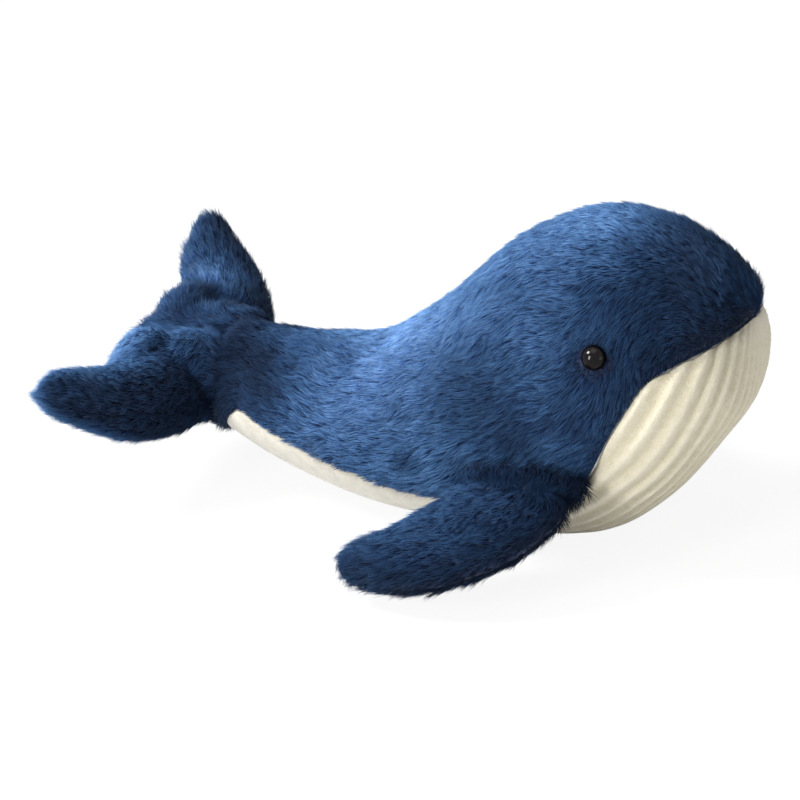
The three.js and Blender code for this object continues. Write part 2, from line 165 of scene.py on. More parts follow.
def eased(share):
    """A share from 0 to 1 that starts and ends gently."""
    return share * share * (3 - 2 * share)


def place_at(along):
    """The row number of the body's sections at a share of its length."""
    fine = np.linspace(0, len(body_sections) - 1, 1301)
    return np.interp(along, read_rows(body_sections, fine)[:, 0], fine)


tail_place = place_at(tail_end / body_length)


def body_ring(place, turn):
    """The outside of the fur, at a row number of the sections and a turn from the left side over the back."""
    place = np.asarray(place, float)
    sections = read_rows(body_sections, np.clip(place, tail_place, nose_end_place))
    along, half, under, top = np.moveaxis(sections, -1, 0)
    past = np.clip(tail_place - place, 0, 1)
    flat = eased(past)
    half_width = half * head_width / 2 * (1 - flat) + sleeve_half_width * flat
    half_height = (top - under) * head_height / 2 * (1 - flat) + sleeve_half_height * flat
    middle = (under + top) * head_height / 2 * (1 - flat) + fluke_seam_height_share * head_height * flat
    x = along * body_length - past * sleeve_length
    y = np.cos(turn) * half_width
    z = middle + np.sin(turn) * half_height + y * math.tan(fluke_roll) * flat
    return np.stack(np.broadcast_arrays(x, y, z), -1) + body_origin


def body_surface(place, turn, depth):
    """Points of the body at a depth under the outside of the fur, and the directions that point outwards."""
    small = 0.004
    over = body_ring(place, turn + small) - body_ring(place, turn - small)
    onward = np.minimum(place + small, nose_end_place - 0.001)
    ahead = body_ring(onward, turn) - body_ring(place - small, turn)
    outward = unit(np.cross(over, ahead))
    depth = np.broadcast_to(depth, outward.shape[:-1])
    return body_ring(place, turn) - outward * depth[..., None], outward


def flipper_place(hand, side):
    """The middle of a flipper's seam, and the turn from the flipper's own axes to the whale's."""
    return np.array(joints[f"flipper_{side}_flap"]["pos_m"]), np.diag([1, hand, 1]) @ np.array(flipper_turn)


def clear_of_flippers(points, outward, gap):
    """Sinks the points in a flipper's round root to the bottom of its seat, and says which they are."""
    moved = np.zeros(points.shape[:-1], bool)
    for hand, side in both_sides:
        seam, turn = flipper_place(hand, side)
        sizes = flipper_root_sizes + gap
        start = ((points - seam) @ turn) / sizes
        path = (-outward @ turn) / sizes
        inside = (start**2).sum(-1) < 1
        a, b, c = (path**2).sum(-1), (start * path).sum(-1), (start**2).sum(-1) - 1
        sink = (-b + np.sqrt(np.maximum(b * b - a * c, 0))) / a
        points = np.where(inside[..., None], points - outward * sink[..., None], points)
        moved |= inside
    return points, moved


def new_mesh(name, vertices, faces):
    """A mesh from points and faces."""
    mesh = bpy.data.meshes.new(name)
    mesh.from_pydata(np.asarray(vertices).reshape(-1, 3).tolist(), [], [list(map(int, f)) for f in faces])
    return mesh


def mark_points(mesh, name, kind, key, values):
    """Keeps a value or a vector on each point of a mesh."""
    data = mesh.attributes.new(name, kind, "POINT").data
    data.foreach_set(key, np.asarray(values, np.float32).ravel())


def in_scene(name, data):
    """An object in the scene that shows a mesh, a lamp or a camera."""
    placed = bpy.data.objects.new(name, data)
    bpy.context.scene.collection.objects.link(placed)
    return placed


def smooth_all(mesh):
    """Shades every face of a mesh smooth."""
    mesh.polygons.foreach_set("use_smooth", [True] * len(mesh.polygons))


def finished(name, vertices, faces, material, **marks):
    """A smooth piece whose faces point outwards, with marks on its points."""
    mesh = new_mesh(name, vertices, faces)
    for mark, values in marks.items():
        mark_points(mesh, mark, "FLOAT", "value", values)
    built = bmesh.new()
    built.from_mesh(mesh)
    bmesh.ops.remove_doubles(built, verts=built.verts, dist=2e-6)
    bmesh.ops.dissolve_degenerate(built, edges=built.edges, dist=1e-6)
    if built.calc_volume(signed=True) < 0:
        bmesh.ops.reverse_faces(built, faces=built.faces)
    built.to_mesh(mesh)
    built.free()
    smooth_all(mesh)
    mesh.materials.append(material)
    return in_scene(name, mesh)


def tube_faces(rings, sides):
    """Faces of closed rings, after which come the points that close the first ring and the last."""
    at = lambda ring, side: ring * sides + side % sides
    turns = range(sides)
    gaps = range(rings - 1)
    faces = [(at(r, s), at(r, s + 1), at(r + 1, s + 1), at(r + 1, s)) for r in gaps for s in turns]
    faces += [(rings * sides, at(0, s + 1), at(0, s)) for s in turns]
    faces += [(rings * sides + 1, at(rings - 1, s), at(rings - 1, s + 1)) for s in turns]
    return faces


fibre, tree, surface = new_material("polyester_fibre")
# Loose white fibre: matt, with soft lumps about 6 mm across and fine strands about 0.5 mm
place = add_node(tree, "ShaderNodeTexCoord")[3]
lumps = add_node(tree, "ShaderNodeTexNoise", {"Vector": place, "Scale": 160.0, "Detail": 3.0})[0]
strands = add_node(tree, "ShaderNodeTexNoise", {"Vector": place, "Scale": 1900.0, "Distortion": 2.0})[0]
height = add_node(tree, "ShaderNodeMath", {0: strands, 1: 0.4, 2: lumps}, operation="MULTIPLY_ADD")[0]
fibre_finish = {"Roughness": 0.95, "Sheen Weight": 0.3}
cover(tree, surface, height, 0.0012, 0.8, lumps, ("#e4e3de", "#f8f8f5"), fibre_finish)

# The fibre stops just short of the fluke's seam, where the tail is left thin enough to bend
tail_bulge = 0.0006
nose_bulge = 0.0004
stuffing_places = np.concatenate([np.linspace(tail_place - 0.14, 12.0, 56), np.linspace(12.1, 12.98, 8)])
stuffing_turns = np.linspace(0, 2 * math.pi, 56, endpoint=False)
rings, outward = body_surface(stuffing_places[:, None], stuffing_turns[None, :], stuffing_depth)
rings, _ = clear_of_flippers(rings, outward, stuffing_seat_gap)
ends = [rings[0].mean(0) - [tail_bulge, 0, 0], rings[-1].mean(0) + [nose_bulge, 0, 0]]
body_stuffing_points = np.concatenate([rings.reshape(-1, 3), ends])
body_stuffing_faces = tube_faces(*rings.shape[:2])
body_stuffing = finished("body_stuffing", body_stuffing_points, body_stuffing_faces, fibre)
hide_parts("body_filling")
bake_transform(body_stuffing)

# Fluke stuffing
# The same fibre, packed lightly into the tail fluke. Each of its two lobes is a plump pad with a rounded heel
# behind and an arm that runs out and up to its tip, and the fluke's skins lie over that form.
fluke_half_span = 0.0815
fluke_reach = 0.0558
fluke_thickness = 0.0346
fluke_tip_lift = 0.0227
fluke_pitch = math.radians(3.2)
fluke_rows = np.array([
    # leading edge: back, out; trailing edge: back, out; thickness, lift
    [0.0, -0.13, 0.62, -0.32, 0.89, -0.11],
    [-0.04, 0.15, 0.92, -0.03, 0.97, 0.04],
    [-0.01, 0.42, 0.89, 0.16, 0.99, 0.09],
    [0.12, 0.61, 0.83, 0.38, 0.96, 0.17],
    [0.31, 0.77, 0.84, 0.54, 0.88, 0.33],
    [0.53, 0.89, 0.94, 0.68, 0.76, 0.59],
    [0.78, 1.0, 0.95, 0.86, 0.51, 0.89],
    [0.96, 0.99, 0.96, 0.99, 0.0, 0.95],
])
# The heel of a lobe and the crest that leads to it from the stem: the middle of each, and how far it swells
# back, out and up
heel = np.array([[-0.0315, 0.021, 0.0064], [0.0155, 0.0185, 0.0168]])
crest = np.array([[-0.0100, 0.012, 0.0030], [0.0275, 0.0195, 0.0192]])
swell_steps = 24
skin_grain = 0.0014
fin_sides = 44
fin_backing_depth = 0.0018
fin_lining_depth = 0.0027
fin_stuffing_depth = 0.0032


def fin_rings(rows, sides):
    """Oval rings between each row's leading and trailing points: x, y, x, y, half thickness, lift."""
    turns = np.linspace(0, 2 * math.pi, sides, endpoint=False)
    middle = (rows[:, 0:2] + rows[:, 2:4]) / 2
    chord = (rows[:, 0:2] - rows[:, 2:4]) / 2
    flat = middle[:, None, :] + chord[:, None, :] * np.cos(turns)[None, :, None]
    z = rows[:, 5:6] - np.sin(turns)[None, :] * rows[:, 4:5]
    return np.concatenate([flat, z[..., None]], -1)


def sunk(vertices, faces, depth):
    """Moves a closed skin inwards along its own smooth normals."""
    mesh = new_mesh("form", vertices, faces)
    built = bmesh.new()
    built.from_mesh(mesh)
    if built.calc_volume(signed=True) < 0:
        bmesh.ops.reverse_faces(built, faces=built.faces)
    built.normal_update()
    normals = np.array([v.normal for v in built.verts])
    built.free()
    bpy.data.meshes.remove(mesh)
    return vertices - normals * depth, normals


def fill_fin(fin, body, vertices, faces):
    """The fibre in a fin that rides on a body."""
    filled, _ = sunk(vertices, faces, fin_stuffing_depth)
    filling = finished(f"{fin}_stuffing", filled, faces, fibre)
    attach(filling, body)
    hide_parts(f"{fin}_filling")


sizes = [-fluke_reach, fluke_half_span, -fluke_reach, fluke_half_span, fluke_thickness / 2, fluke_tip_lift]
table = fluke_rows * sizes
lobe_rows = read_rows(table, np.linspace(0, len(table) - 1, 72))[:-1]
lobe_rings = fin_rings(lobe_rows, fin_sides)
ends = [lobe_rings[0].mean(0), table[-1, [0, 1, 5]]]
form_points = [np.vstack([lobe_rings.reshape(-1, 3), ends])]
form_faces = tube_faces(len(lobe_rings), fin_sides)
around = np.linspace(0, 2 * math.pi, fin_sides, endpoint=False)
for middle, swell in (heel, crest):
    ball = []
    for t in np.linspace(0, math.pi, swell_steps + 2)[1:-1]:
        ring = [np.cos(around) * math.sin(t), np.full(fin_sides, -math.cos(t)), np.sin(around) * math.sin(t)]
        ball.append(np.stack(ring, -1))
    start = sum(len(points) for points in form_points)
    form_faces += [[i + start for i in f] for f in tube_faces(swell_steps, fin_sides)]
    form_points.append(np.vstack([np.array(ball).reshape(-1, 3), [[0, -1, 0], [0, 1, 0]]]) * swell + middle)
# The three overlapping forms become one soft skin, which is cut through in the middle
joined = new_mesh("lobe_form", np.vstack(form_points), form_faces)
built = bmesh.new()
built.from_mesh(joined)
bmesh.ops.recalc_face_normals(built, faces=built.faces)
built.to_mesh(joined)
built.free()
form = in_scene("lobe_form", joined)
knit = form.modifiers.new("one skin", "REMESH")
knit.mode = "VOXEL"
knit.voxel_size = skin_grain
soften = form.modifiers.new("soft", "SMOOTH")
soften.iterations = 6
bpy.context.view_layer.update()
whole = bpy.data.meshes.new_from_object(form.evaluated_get(bpy.context.evaluated_depsgraph_get()))
bpy.data.objects.remove(form)
built = bmesh.new()
built.from_mesh(whole)
cut = bmesh.ops.bisect_plane(
    built,
    geom=built.verts[:] + built.edges[:] + built.faces[:],
    plane_co=(0, 0, 0),
    plane_no=(0, 1, 0),
    clear_inner=True,
)
bmesh.ops.contextual_create(built, geom=[e for e in cut["geom_cut"] if isinstance(e, bmesh.types.BMEdge)])
bmesh.ops.triangulate(built, faces=built.faces)
built.verts.index_update()
lobe_points = np.array([v.co for v in built.verts])
lobe_faces = [[v.index for v in f.verts] for f in built.faces]
built.free()
bpy.data.meshes.remove(whole)
fluke_turn = np.array(Matrix.Rotation(fluke_roll, 3, "X") @ Matrix.Rotation(fluke_pitch, 3, "Y"))
fluke_lobes = {}
fluke_forms = {}
for hand, side in both_sides:
    placed = lobe_points @ (fluke_turn @ np.diag([1, hand, 1])).T + fluke_seam
    outline = [f[::hand] for f in lobe_faces]
    fluke_lobes[side] = placed
    fluke_forms[side] = BVHTree.FromPolygons(placed.tolist(), outline)
    fill_fin(f"fluke_{side}", "fluke", placed, outline)

# Belly panel
# A plain strip of short-pile cream plush along the underside, from the throat to the fluke. It is sewn
# to the blue side panels along both edges and lies on the floor.
cream_edge_shares = np.array([
    # along, height of the seam between blue and cream
    [1.03, 0.76], [0.983, 0.735], [0.93, 0.696], [0.892, 0.664], [0.86, 0.627], [0.841, 0.58], [0.824, 0.52],
    [0.8, 0.435], [0.778, 0.344], [0.753, 0.262], [0.71, 0.17], [0.6, 0.127], [0.475, 0.123], [0.403, 0.131],
    [0.304, 0.168], [0.214, 0.211], [0.134, 0.252], [0.1, 0.28], [0.075, 0.262], [0.055, 0.205],
    [0.038, 0.12], [-0.1, -0.1],
])
cream_depth = 0.0012
lining_depth = 0.0045
throat_back_share = 0.56
seam_dip = 0.0016
seam_dip_width = 0.0022
belly_radius = 0.045
floor_clearance = 0.0008
sleeve_rows = 11
sleeve_gap = 0.0003
sleeve_halvings = 9
lowest_seam_sine = -0.99997

cream_edge = read_rows(cream_edge_shares, np.linspace(0, len(cream_edge_shares) - 1, 361))[::-1]
cream_edge = cream_edge * [body_length, head_height] + body_origin[[0, 2]]


def edge_height(x):
    """The height of the seam between blue and cream, seen from the side."""
    return np.interp(x, cream_edge[:, 0], cream_edge[:, 1])


def seam_turn(place):
    """The turn at which the left seam crosses a ring of the body, up to a quarter turn."""
    over, under = body_ring(place, math.pi / 2), body_ring(place, -math.pi / 2)
    middle, half = (over[..., 2] + under[..., 2]) / 2, (over[..., 2] - under[..., 2]) / 2
    return np.arcsin(np.clip((edge_height(over[..., 0]) - middle) / half, lowest_seam_sine, 1))


def above_fluke(points):
    """How far points lie outside the fur of the fluke. Inside it this is negative."""
    above = np.ones(points.shape[:-1])
    for at in np.ndindex(above.shape):
        for form in fluke_forms.values():
            spot, out, _, _ = form.find_nearest(Vector(points[at]))
            above[at] = min(above[at], (Vector(points[at]) - spot).dot(out))
    return above


def sleeve_places(turns_at, depth, columns):
    """Rows of places along the tail's sleeve, from where each column meets the fluke to the tail's end."""
    low, high = np.zeros(columns), np.ones(columns)
    for _ in range(sleeve_halvings):
        past = (low + high) / 2
        spots, _ = body_surface(tail_place - past, turns_at(tail_place - past), depth)
        within = above_fluke(spots) < sleeve_gap - fin_backing_depth
        low, high = np.where(within, low, past), np.where(within, past, high)
    return tail_place - np.linspace(1, 0, sleeve_rows, endpoint=False)[:, None] * low


def sheet_places(turns_at, depth, body_places, columns):
    """Rows of places of a sheet with that many columns, along the sleeve and then the body."""
    sleeve = sleeve_places(turns_at, depth, columns)
    return np.vstack([sleeve, np.repeat(body_places[:, None], columns, axis=1)])


def panel(name, outside, inside, material, **marks):
    """A closed piece of fabric between an outer and an inner sheet of the same rows and columns."""
    rows, columns = outside.shape[:2]
    at = lambda layer, r, c: layer * rows * columns + r * columns + c
    faces = []
    for r in range(rows - 1):
        for c in range(columns - 1):
            faces.append((at(0, r, c), at(0, r, c + 1), at(0, r + 1, c + 1), at(0, r + 1, c)))
            faces.append((at(1, r, c), at(1, r + 1, c), at(1, r + 1, c + 1), at(1, r, c + 1)))
    edge = [(0, c) for c in range(columns)] + [(r, columns - 1) for r in range(1, rows)]
    edge += [(rows - 1, c) for c in range(columns - 2, -1, -1)] + [(r, 0) for r in range(rows - 2, 0, -1)]
    for (r, c), (r2, c2) in zip(edge, edge[1:] + edge[:1]):
        faces.append((at(0, r, c), at(1, r, c), at(1, r2, c2), at(0, r2, c2)))
    vertices = np.concatenate([outside.reshape(-1, 3), inside.reshape(-1, 3)])
    return finished(name, vertices, faces, material, **marks)


short_plush, tree, surface = new_material("cream_short_pile_plush")
# Short-pile polyester plush: a soft matt nap whose tips lie in small swirls about 2 mm across
place = add_node(tree, "ShaderNodeTexCoord")[3]
stretched = add_node(tree, "ShaderNodeMapping", {"Vector": place, "Scale": (0.45, 1.0, 1.0)})[0]
nap_inputs = {"Vector": stretched, "Scale": 1500.0, "Detail": 3.0, "Distortion": 0.6}
nap = add_node(tree, "ShaderNodeTexNoise", nap_inputs)[0]
swirl = add_node(tree, "ShaderNodeTexNoise", {"Vector": place, "Scale": 220.0, "Detail": 2.0})[0]
height = add_node(tree, "ShaderNodeMath", {0: swirl, 1: 0.8, 2: nap}, operation="MULTIPLY_ADD")[0]
mixed = add_node(tree, "ShaderNodeMapRange", {"Value": height, "From Min": 0.55, "From Max": 1.15})[0]
nap_finish = {"Roughness": 0.9, "Sheen Weight": 0.35, "Sheen Roughness": 0.6}
cover(tree, surface, height, 0.0005, 0.9, mixed, ("#928d83", "#a9a599"), nap_finish)

belly_shares = np.linspace(0, 1, 37)


def near(away, reach):
    """A share that is 1 at no distance and fades out over a reach."""
    return np.exp(-((away / reach) ** 2))


def belly_turns(places):
    """The turns of the belly's columns, from the left seam under the body to the right one."""
    edge = seam_turn(places)
    return edge - belly_shares * (math.pi + 2 * edge)


body_places = np.linspace(tail_place, place_at(throat_back_share) - 0.01, 64)
places = sheet_places(belly_turns, cream_depth, body_places, len(belly_shares))
turns = belly_turns(places)
to_seam = np.minimum(belly_shares, 1 - belly_shares) * (math.pi + 2 * seam_turn(places)) * belly_radius
dip = seam_dip * near(to_seam, seam_dip_width)
outside, outward = body_surface(places, turns, cream_depth + dip)
inside = outside - outward * (lining_depth - cream_depth - dip)[..., None]
outside[..., 2] = np.maximum(outside[..., 2], 0)
inside[..., 2] = np.maximum(inside[..., 2], floor_clearance)
belly = panel("belly_panel_plush", outside, inside, short_plush)
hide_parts("belly_panel")
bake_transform(belly)

# Throat panel
# Wide-rib cream plush over the lower jaw and chest. Its soft ribs are knitted in, run like meridians from
# the nose to the chest, and are gathered at the nose where the side panels meet.
rib_tilt = math.radians(42)
rib_turn = math.radians(10.4)
rib_depth = 0.0021
rib_centre_share = 0.551
valley_sharpness = 1.9
nose_shares = np.array([1.01, 0, 0.72])
nose_gather = 0.35
nose_corner_width = 0.012
# The valleys deepen from the nose on, and from a little past the middle they get half as deep by the chest
valley_rise = 0.4
chest_fade_start_share = 0.55
chest_fade_share = 0.5
throat_dip_share = 0.8
throat_dip_rise = 0.3
throat_lining_gap = 0.0004
widest_turn = math.pi - 0.06
turn_step = 0.05
swing_step = 0.04
halvings = 13

dense_places = np.concatenate([np.linspace(0.3, 12.0, 160), np.linspace(12.02, 12.985, 40)])
dense_turns = np.linspace(0, 2 * math.pi, 160, endpoint=False)
rings, _ = body_surface(dense_places[:, None], dense_turns[None, :], cream_depth)
cream_points = np.vstack([rings.reshape(-1, 3), [rings[0].mean(0), rings[-1].mean(0)]])
cream_form = BVHTree.FromPolygons(cream_points.tolist(), tube_faces(*rings.shape[:2]))
rib_axis = np.array([math.cos(rib_tilt), 0, math.sin(rib_tilt)])
rib_down = np.array([math.sin(rib_tilt), 0, -math.cos(rib_tilt)])
rib_centre = nose_shares * [body_length, 1, head_height] + body_origin
rib_centre = rib_centre - rib_axis * rib_centre_share * head_height
throat_back = throat_back_share * body_length + body_origin[0]
nose_places = np.linspace(12.0, 12.98, 2000)
nose_place = nose_places[np.argmax(seam_turn(nose_places) > math.pi / 2 - nose_corner_width)]
nose_corner, _ = body_surface(np.array(nose_place), np.array(math.pi / 2), cream_depth)
to_corner = unit(nose_corner - rib_centre) - rib_axis


def throat_point(turn, swing):
    """Where a line from the ribs' centre meets the body, its direction, and how far inside the throat."""
    way = rib_axis * math.cos(swing) + rib_down * math.sin(swing) * math.cos(turn)
    way = way + np.array([0, math.sin(swing) * math.sin(turn), 0])
    way = unit(way + to_corner * near(swing, nose_gather))
    hit = cream_form.ray_cast(Vector(rib_centre), Vector(way))[0]
    return np.array(hit), way, min(edge_height(hit.x) - hit.z, hit.x - throat_back)


def last_inside(point_at, limit, step):
    """The furthest setting, counted up from nought, at which a point still lies on the throat."""
    low = 0.0
    while low < limit and point_at(low + step)[2] >= 0:
        low += step
    high = low + step
    for _ in range(halvings):
        middle = (low + high) / 2
        low, high = (middle, high) if point_at(middle)[2] >= 0 else (low, middle)
    return low


last_swing = last_inside(lambda swing: throat_point(0.0, swing), math.pi, swing_step)
swing_spans = ((0.0, 0.1, 14), (0.112, 0.9, 70), (0.907, 0.999, 12))
swing_shares = np.concatenate([np.linspace(*span) for span in swing_spans])
throat_shares = np.linspace(-1, 1, 251)
throat_outside = []
throat_inside = []
throat_valleys = []
for swing in last_swing * swing_shares:
    widest = last_inside(lambda turn: throat_point(turn, swing), widest_turn, turn_step)
    row_turns = widest * throat_shares
    line, ways = (np.array(part) for part in zip(*(throat_point(turn, swing)[:2] for turn in row_turns)))
    steps = np.concatenate([[0], np.cumsum(np.linalg.norm(np.diff(line, axis=0), axis=1))])
    to_seam = np.minimum(steps, steps[-1] - steps)
    # Round ridges with narrower valleys between them, low at the nose and at the chest
    spread = math.sqrt(math.sin(min(swing, math.pi / 2)))
    valley = np.abs(np.sin(math.pi * row_turns * spread / rib_turn)) ** valley_sharpness
    to_chest = max(0, (swing / last_swing - chest_fade_start_share) / (1 - chest_fade_start_share))
    valley = valley * min(1, math.sin(swing) / valley_rise) * (1 - chest_fade_share * to_chest)
    dip = seam_dip * throat_dip_share * min(1, swing / throat_dip_rise) * near(to_seam, seam_dip_width)
    outer = line - ways * (rib_depth * valley + dip)[:, None]
    outer[:, 2] = np.maximum(outer[:, 2], 0)
    inner = line - ways * (lining_depth - cream_depth + throat_lining_gap)
    inner[:, 2] = np.maximum(inner[:, 2], floor_clearance)
    throat_outside.append(outer)
    throat_inside.append(inner)
    throat_valleys.append(valley)

ribbed_plush, tree, surface = new_material("cream_wide_rib_plush")
# Wide-rib polyester knit with a brushed nap: matt, a fine grain of stitches under 1 mm, with painted shade in
# its valleys
place = add_node(tree, "ShaderNodeTexCoord")[3]
valley = add_node(tree, "ShaderNodeAttribute", attribute_name="valley")[2]
stitch_inputs = {"Vector": place, "Scale": 1500.0, "Detail": 3.0, "Distortion": 0.8}
stitches = add_node(tree, "ShaderNodeTexNoise", stitch_inputs)[0]
cloud = add_node(tree, "ShaderNodeTexNoise", {"Vector": place, "Scale": 300.0, "Detail": 2.0})[0]
height = add_node(tree, "ShaderNodeMath", {0: cloud, 1: 0.5, 2: stitches}, operation="MULTIPLY_ADD")[0]
mixed = add_node(tree, "ShaderNodeMapRange", {"Value": height, "From Min": 0.3, "From Max": 1.1})[0]
# Painted shade, deepest in the valleys of the ribs
painted_valley_shade = {0: valley, 1: -0.4, 2: mixed}
mixed = add_node(tree, "ShaderNodeMath", painted_valley_shade, operation="MULTIPLY_ADD", use_clamp=True)[0]
knit_finish = {"Roughness": 0.92, "Sheen Weight": 0.3, "Sheen Roughness": 0.6}
cover(tree, surface, height, 0.0006, 0.8, mixed, ("#b5ad93", "#d1cbba"), knit_finish)
valleys = np.array([throat_valleys, throat_valleys])
sheets = np.array(throat_outside), np.array(throat_inside)
throat = panel("throat_panel_rib_plush", *sheets, ribbed_plush, valley=valleys)
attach(throat, "torso")
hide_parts("throat_panel")

# Eyes
# Domed black safety eyes of 10 mm, moulded in acrylic. Each is pushed through the fur panel on its shank
# and held by a lock washer inside, so its rim lies deep in the pile.
eye_along_share = 0.771
eye_height_share = 0.687
eye_radius = 0.005
eye_dome_height = 0.0052
eye_back_depth = 0.003
rim_height = 0.0007
rim_rounding = 0.0003
back_rounding = 0.0002
back_radius_share = 0.94
shank_radius = 0.0016
shank_end_radius_share = 0.8
shank_end_rounding = 0.0006
shank_length = 0.010
shank_steps = 6
dome_steps = 24
eye_sides = 48

eye_acrylic, tree, surface = new_material("black_acrylic")
# Moulded acrylic: a deep gloss over black, with the faint waviness of a moulding
place = add_node(tree, "ShaderNodeTexCoord")[3]
waves = add_node(tree, "ShaderNodeTexNoise", {"Vector": place, "Scale": 260.0, "Detail": 1.0})[0]
cover(tree, surface, waves, 0.00004, 0.4, waves, ("#050404", "#0b0807"), {"Roughness": 0.03, "IOR": 1.26})

washer_nylon, tree, surface = new_material("white_nylon")
# Moulded nylon: off-white and a little waxy, with a fine grain from the mould
place = add_node(tree, "ShaderNodeTexCoord")[3]
grain = add_node(tree, "ShaderNodeTexNoise", {"Vector": place, "Scale": 2500.0, "Detail": 2.0})[0]
cover(tree, surface, grain, 0.00005, 0.5, grain, ("#dedcd4", "#efeee8"), {"Roughness": 0.45, "IOR": 1.53})

# One eye in its own axes, as a shape turned about its shank: radius and height, from the shank's end up
profile = [(shank_radius * shank_end_radius_share, -shank_length)]
profile += [(shank_radius, -shank_length + shank_end_rounding)]
profile += [(shank_radius, -shank_length * (1 - k / shank_steps)) for k in range(1, shank_steps)]
profile += [(shank_radius, -back_rounding), (eye_radius * back_radius_share, -back_rounding)]
profile += [(eye_radius, rim_rounding), (eye_radius, rim_height)]
dome = eye_dome_height - rim_height
for k in range(1, dome_steps):
    bend = k / dome_steps * math.pi / 2
    profile.append((math.cos(bend) * eye_radius, rim_height + math.sin(bend) * dome))
turns = np.linspace(0, 2 * math.pi, eye_sides, endpoint=False)
rings = np.array([[(r * math.cos(t), r * math.sin(t), h) for t in turns] for r, h in profile])
eye_points = np.concatenate([rings.reshape(-1, 3), [(0, 0, -shank_length), (0, 0, eye_dome_height)]])
eye_faces = tube_faces(*rings.shape[:2])

# The body's point that lies at the eye's distance along and height, seen from the side
place = np.array(place_at(eye_along_share))
_, _, under, top = read_rows(body_sections, place)
lift = math.asin((2 * eye_height_share - under - top) / (top - under))
eye_seats = {}
for hand, side in both_sides:
    turn = lift if hand > 0 else math.pi - lift
    spot, out = body_surface(place, np.array(turn), eye_back_depth)
    eye_seats[side] = spot
    stand = np.array(Vector(out).to_track_quat("Z", "Y").to_matrix())
    eye = finished(f"eye_dome_{side}", eye_points @ stand.T + spot, eye_faces, eye_acrylic)
    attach(eye, "torso")
    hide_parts(f"eye_{side}")
    washer = frame["nodes"][f"eye_washer_{side}"]
    washer.data.materials.clear()
    washer.data.materials.append(washer_nylon)

# Side panels
# The two big pieces of blue plush, left and right, sewn together over the back and to the cream below.
# This is their knitted backing: the pile on it comes next.
backing_depth = 0.0024
back_seam_dip = 0.0007
back_seam_dip_width = 0.002
back_seam_gap = 0.0005
seam_sink_share = 0.6
# The pile of the brow and of the saddle lies flat, so their backing is nearer to the outside
brow_rise = 0.0030
brow_facing = 0.2
brow_facing_span = 0.5
saddle_rise = 0.0030
saddle_middle = 0.008
saddle_reach = 0.045
rise_start = 0.001
rise_span = 0.011
eye_dimple = 0.001
eye_dimple_reach = 0.008
backing_seat_gap = 0.0002
lining_seat_gap = 0.0004

blue_backing, tree, surface = new_material("blue_knitted_backing")
# Warp-knitted polyester backing, dyed like the pile: loops about 0.6 mm, nearly hidden at the pile's roots
place = add_node(tree, "ShaderNodeTexCoord")[3]
loops = add_node(tree, "ShaderNodeTexVoronoi", {"Vector": place, "Scale": 1600.0})[0]
cloud = add_node(tree, "ShaderNodeTexNoise", {"Vector": place, "Scale": 90.0, "Detail": 2.0})[0]
backing_finish = {"Roughness": 0.9, "Sheen Weight": 0.2}
cover(tree, surface, loops, 0.0004, 0.8, cloud, ("#0d1730", "#172a50"), backing_finish)

side_places = np.concatenate([np.linspace(tail_place, 11.6, 92), np.linspace(11.63, nose_place, 22)])
side_shares = np.linspace(0, 1, 57) ** 1.15


def ramp(values, start, length):
    """A share that goes from 0 to 1 over a length from a start."""
    return np.clip((values - start) / length, 0, 1)


def left_turns(places):
    """The turns of the left panel's columns, from its lower seam to the seam over the back."""
    low = seam_turn(places)
    return low + side_shares * (math.pi / 2 - back_seam_gap - low)


side_sheets = {}
for hand, side in both_sides:
    turns_at = left_turns if hand > 0 else lambda places: math.pi - left_turns(places)
    places = sheet_places(turns_at, backing_depth, side_places, len(side_shares))
    turns = turns_at(places)
    fur = body_ring(places, turns)
    arc = np.linalg.norm(np.diff(fur, axis=1), axis=-1)
    up = np.concatenate([np.zeros((len(places), 1)), np.cumsum(arc, axis=1)], axis=1)
    down = up[:, -1:] - up
    sink = seam_dip * near(up, seam_dip_width) + back_seam_dip * near(down, back_seam_dip_width)
    _, outward = body_surface(places, turns, 0.0)
    rise = brow_rise * ramp(outward[..., 0], brow_facing, brow_facing_span)
    saddle = near(fur[..., 0] - saddle_middle, saddle_reach)
    rise = rise + saddle_rise * saddle * np.clip(outward[..., 2], 0, 1)
    rise = rise * ramp(up, rise_start, rise_span)
    spots, outward = body_surface(places, turns, backing_depth - rise + sink * seam_sink_share)
    eye_away = np.linalg.norm(spots - eye_seats[side], axis=-1)
    spots = spots - outward * (eye_dimple * near(eye_away, eye_dimple_reach))[..., None]
    outside, seated = clear_of_flippers(spots, outward, backing_seat_gap)
    lining = spots - outward * (lining_depth - backing_depth + rise)[..., None]
    inside, _ = clear_of_flippers(lining, outward, lining_seat_gap)
    side_panel = panel(f"side_panel_{side}_backing", outside, inside, blue_backing)
    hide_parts(f"side_panel_{side}")
    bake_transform(side_panel)
    side_sheets[side] = (spots, outward, seated, eye_away, up, down)

# Pile of the side panels
# Medium-length polyester pile, 6 to 7 mm, dyed in the yarn and combed from nose to tail. Its strands lean
# together in small tufts, about 2 mm across. Below them lies a shorter, straighter growth.
pile_length = 0.0064
strand_width = 0.00014
tuft_spacing = 0.0021
most_tufts_per_area = 4e5
strands_per_area = 3.1e6
own_lean_share = 0.16
tuft_lean_share = 0.17

blue_pile, tree, surface = new_material("blue_polyester_pile")
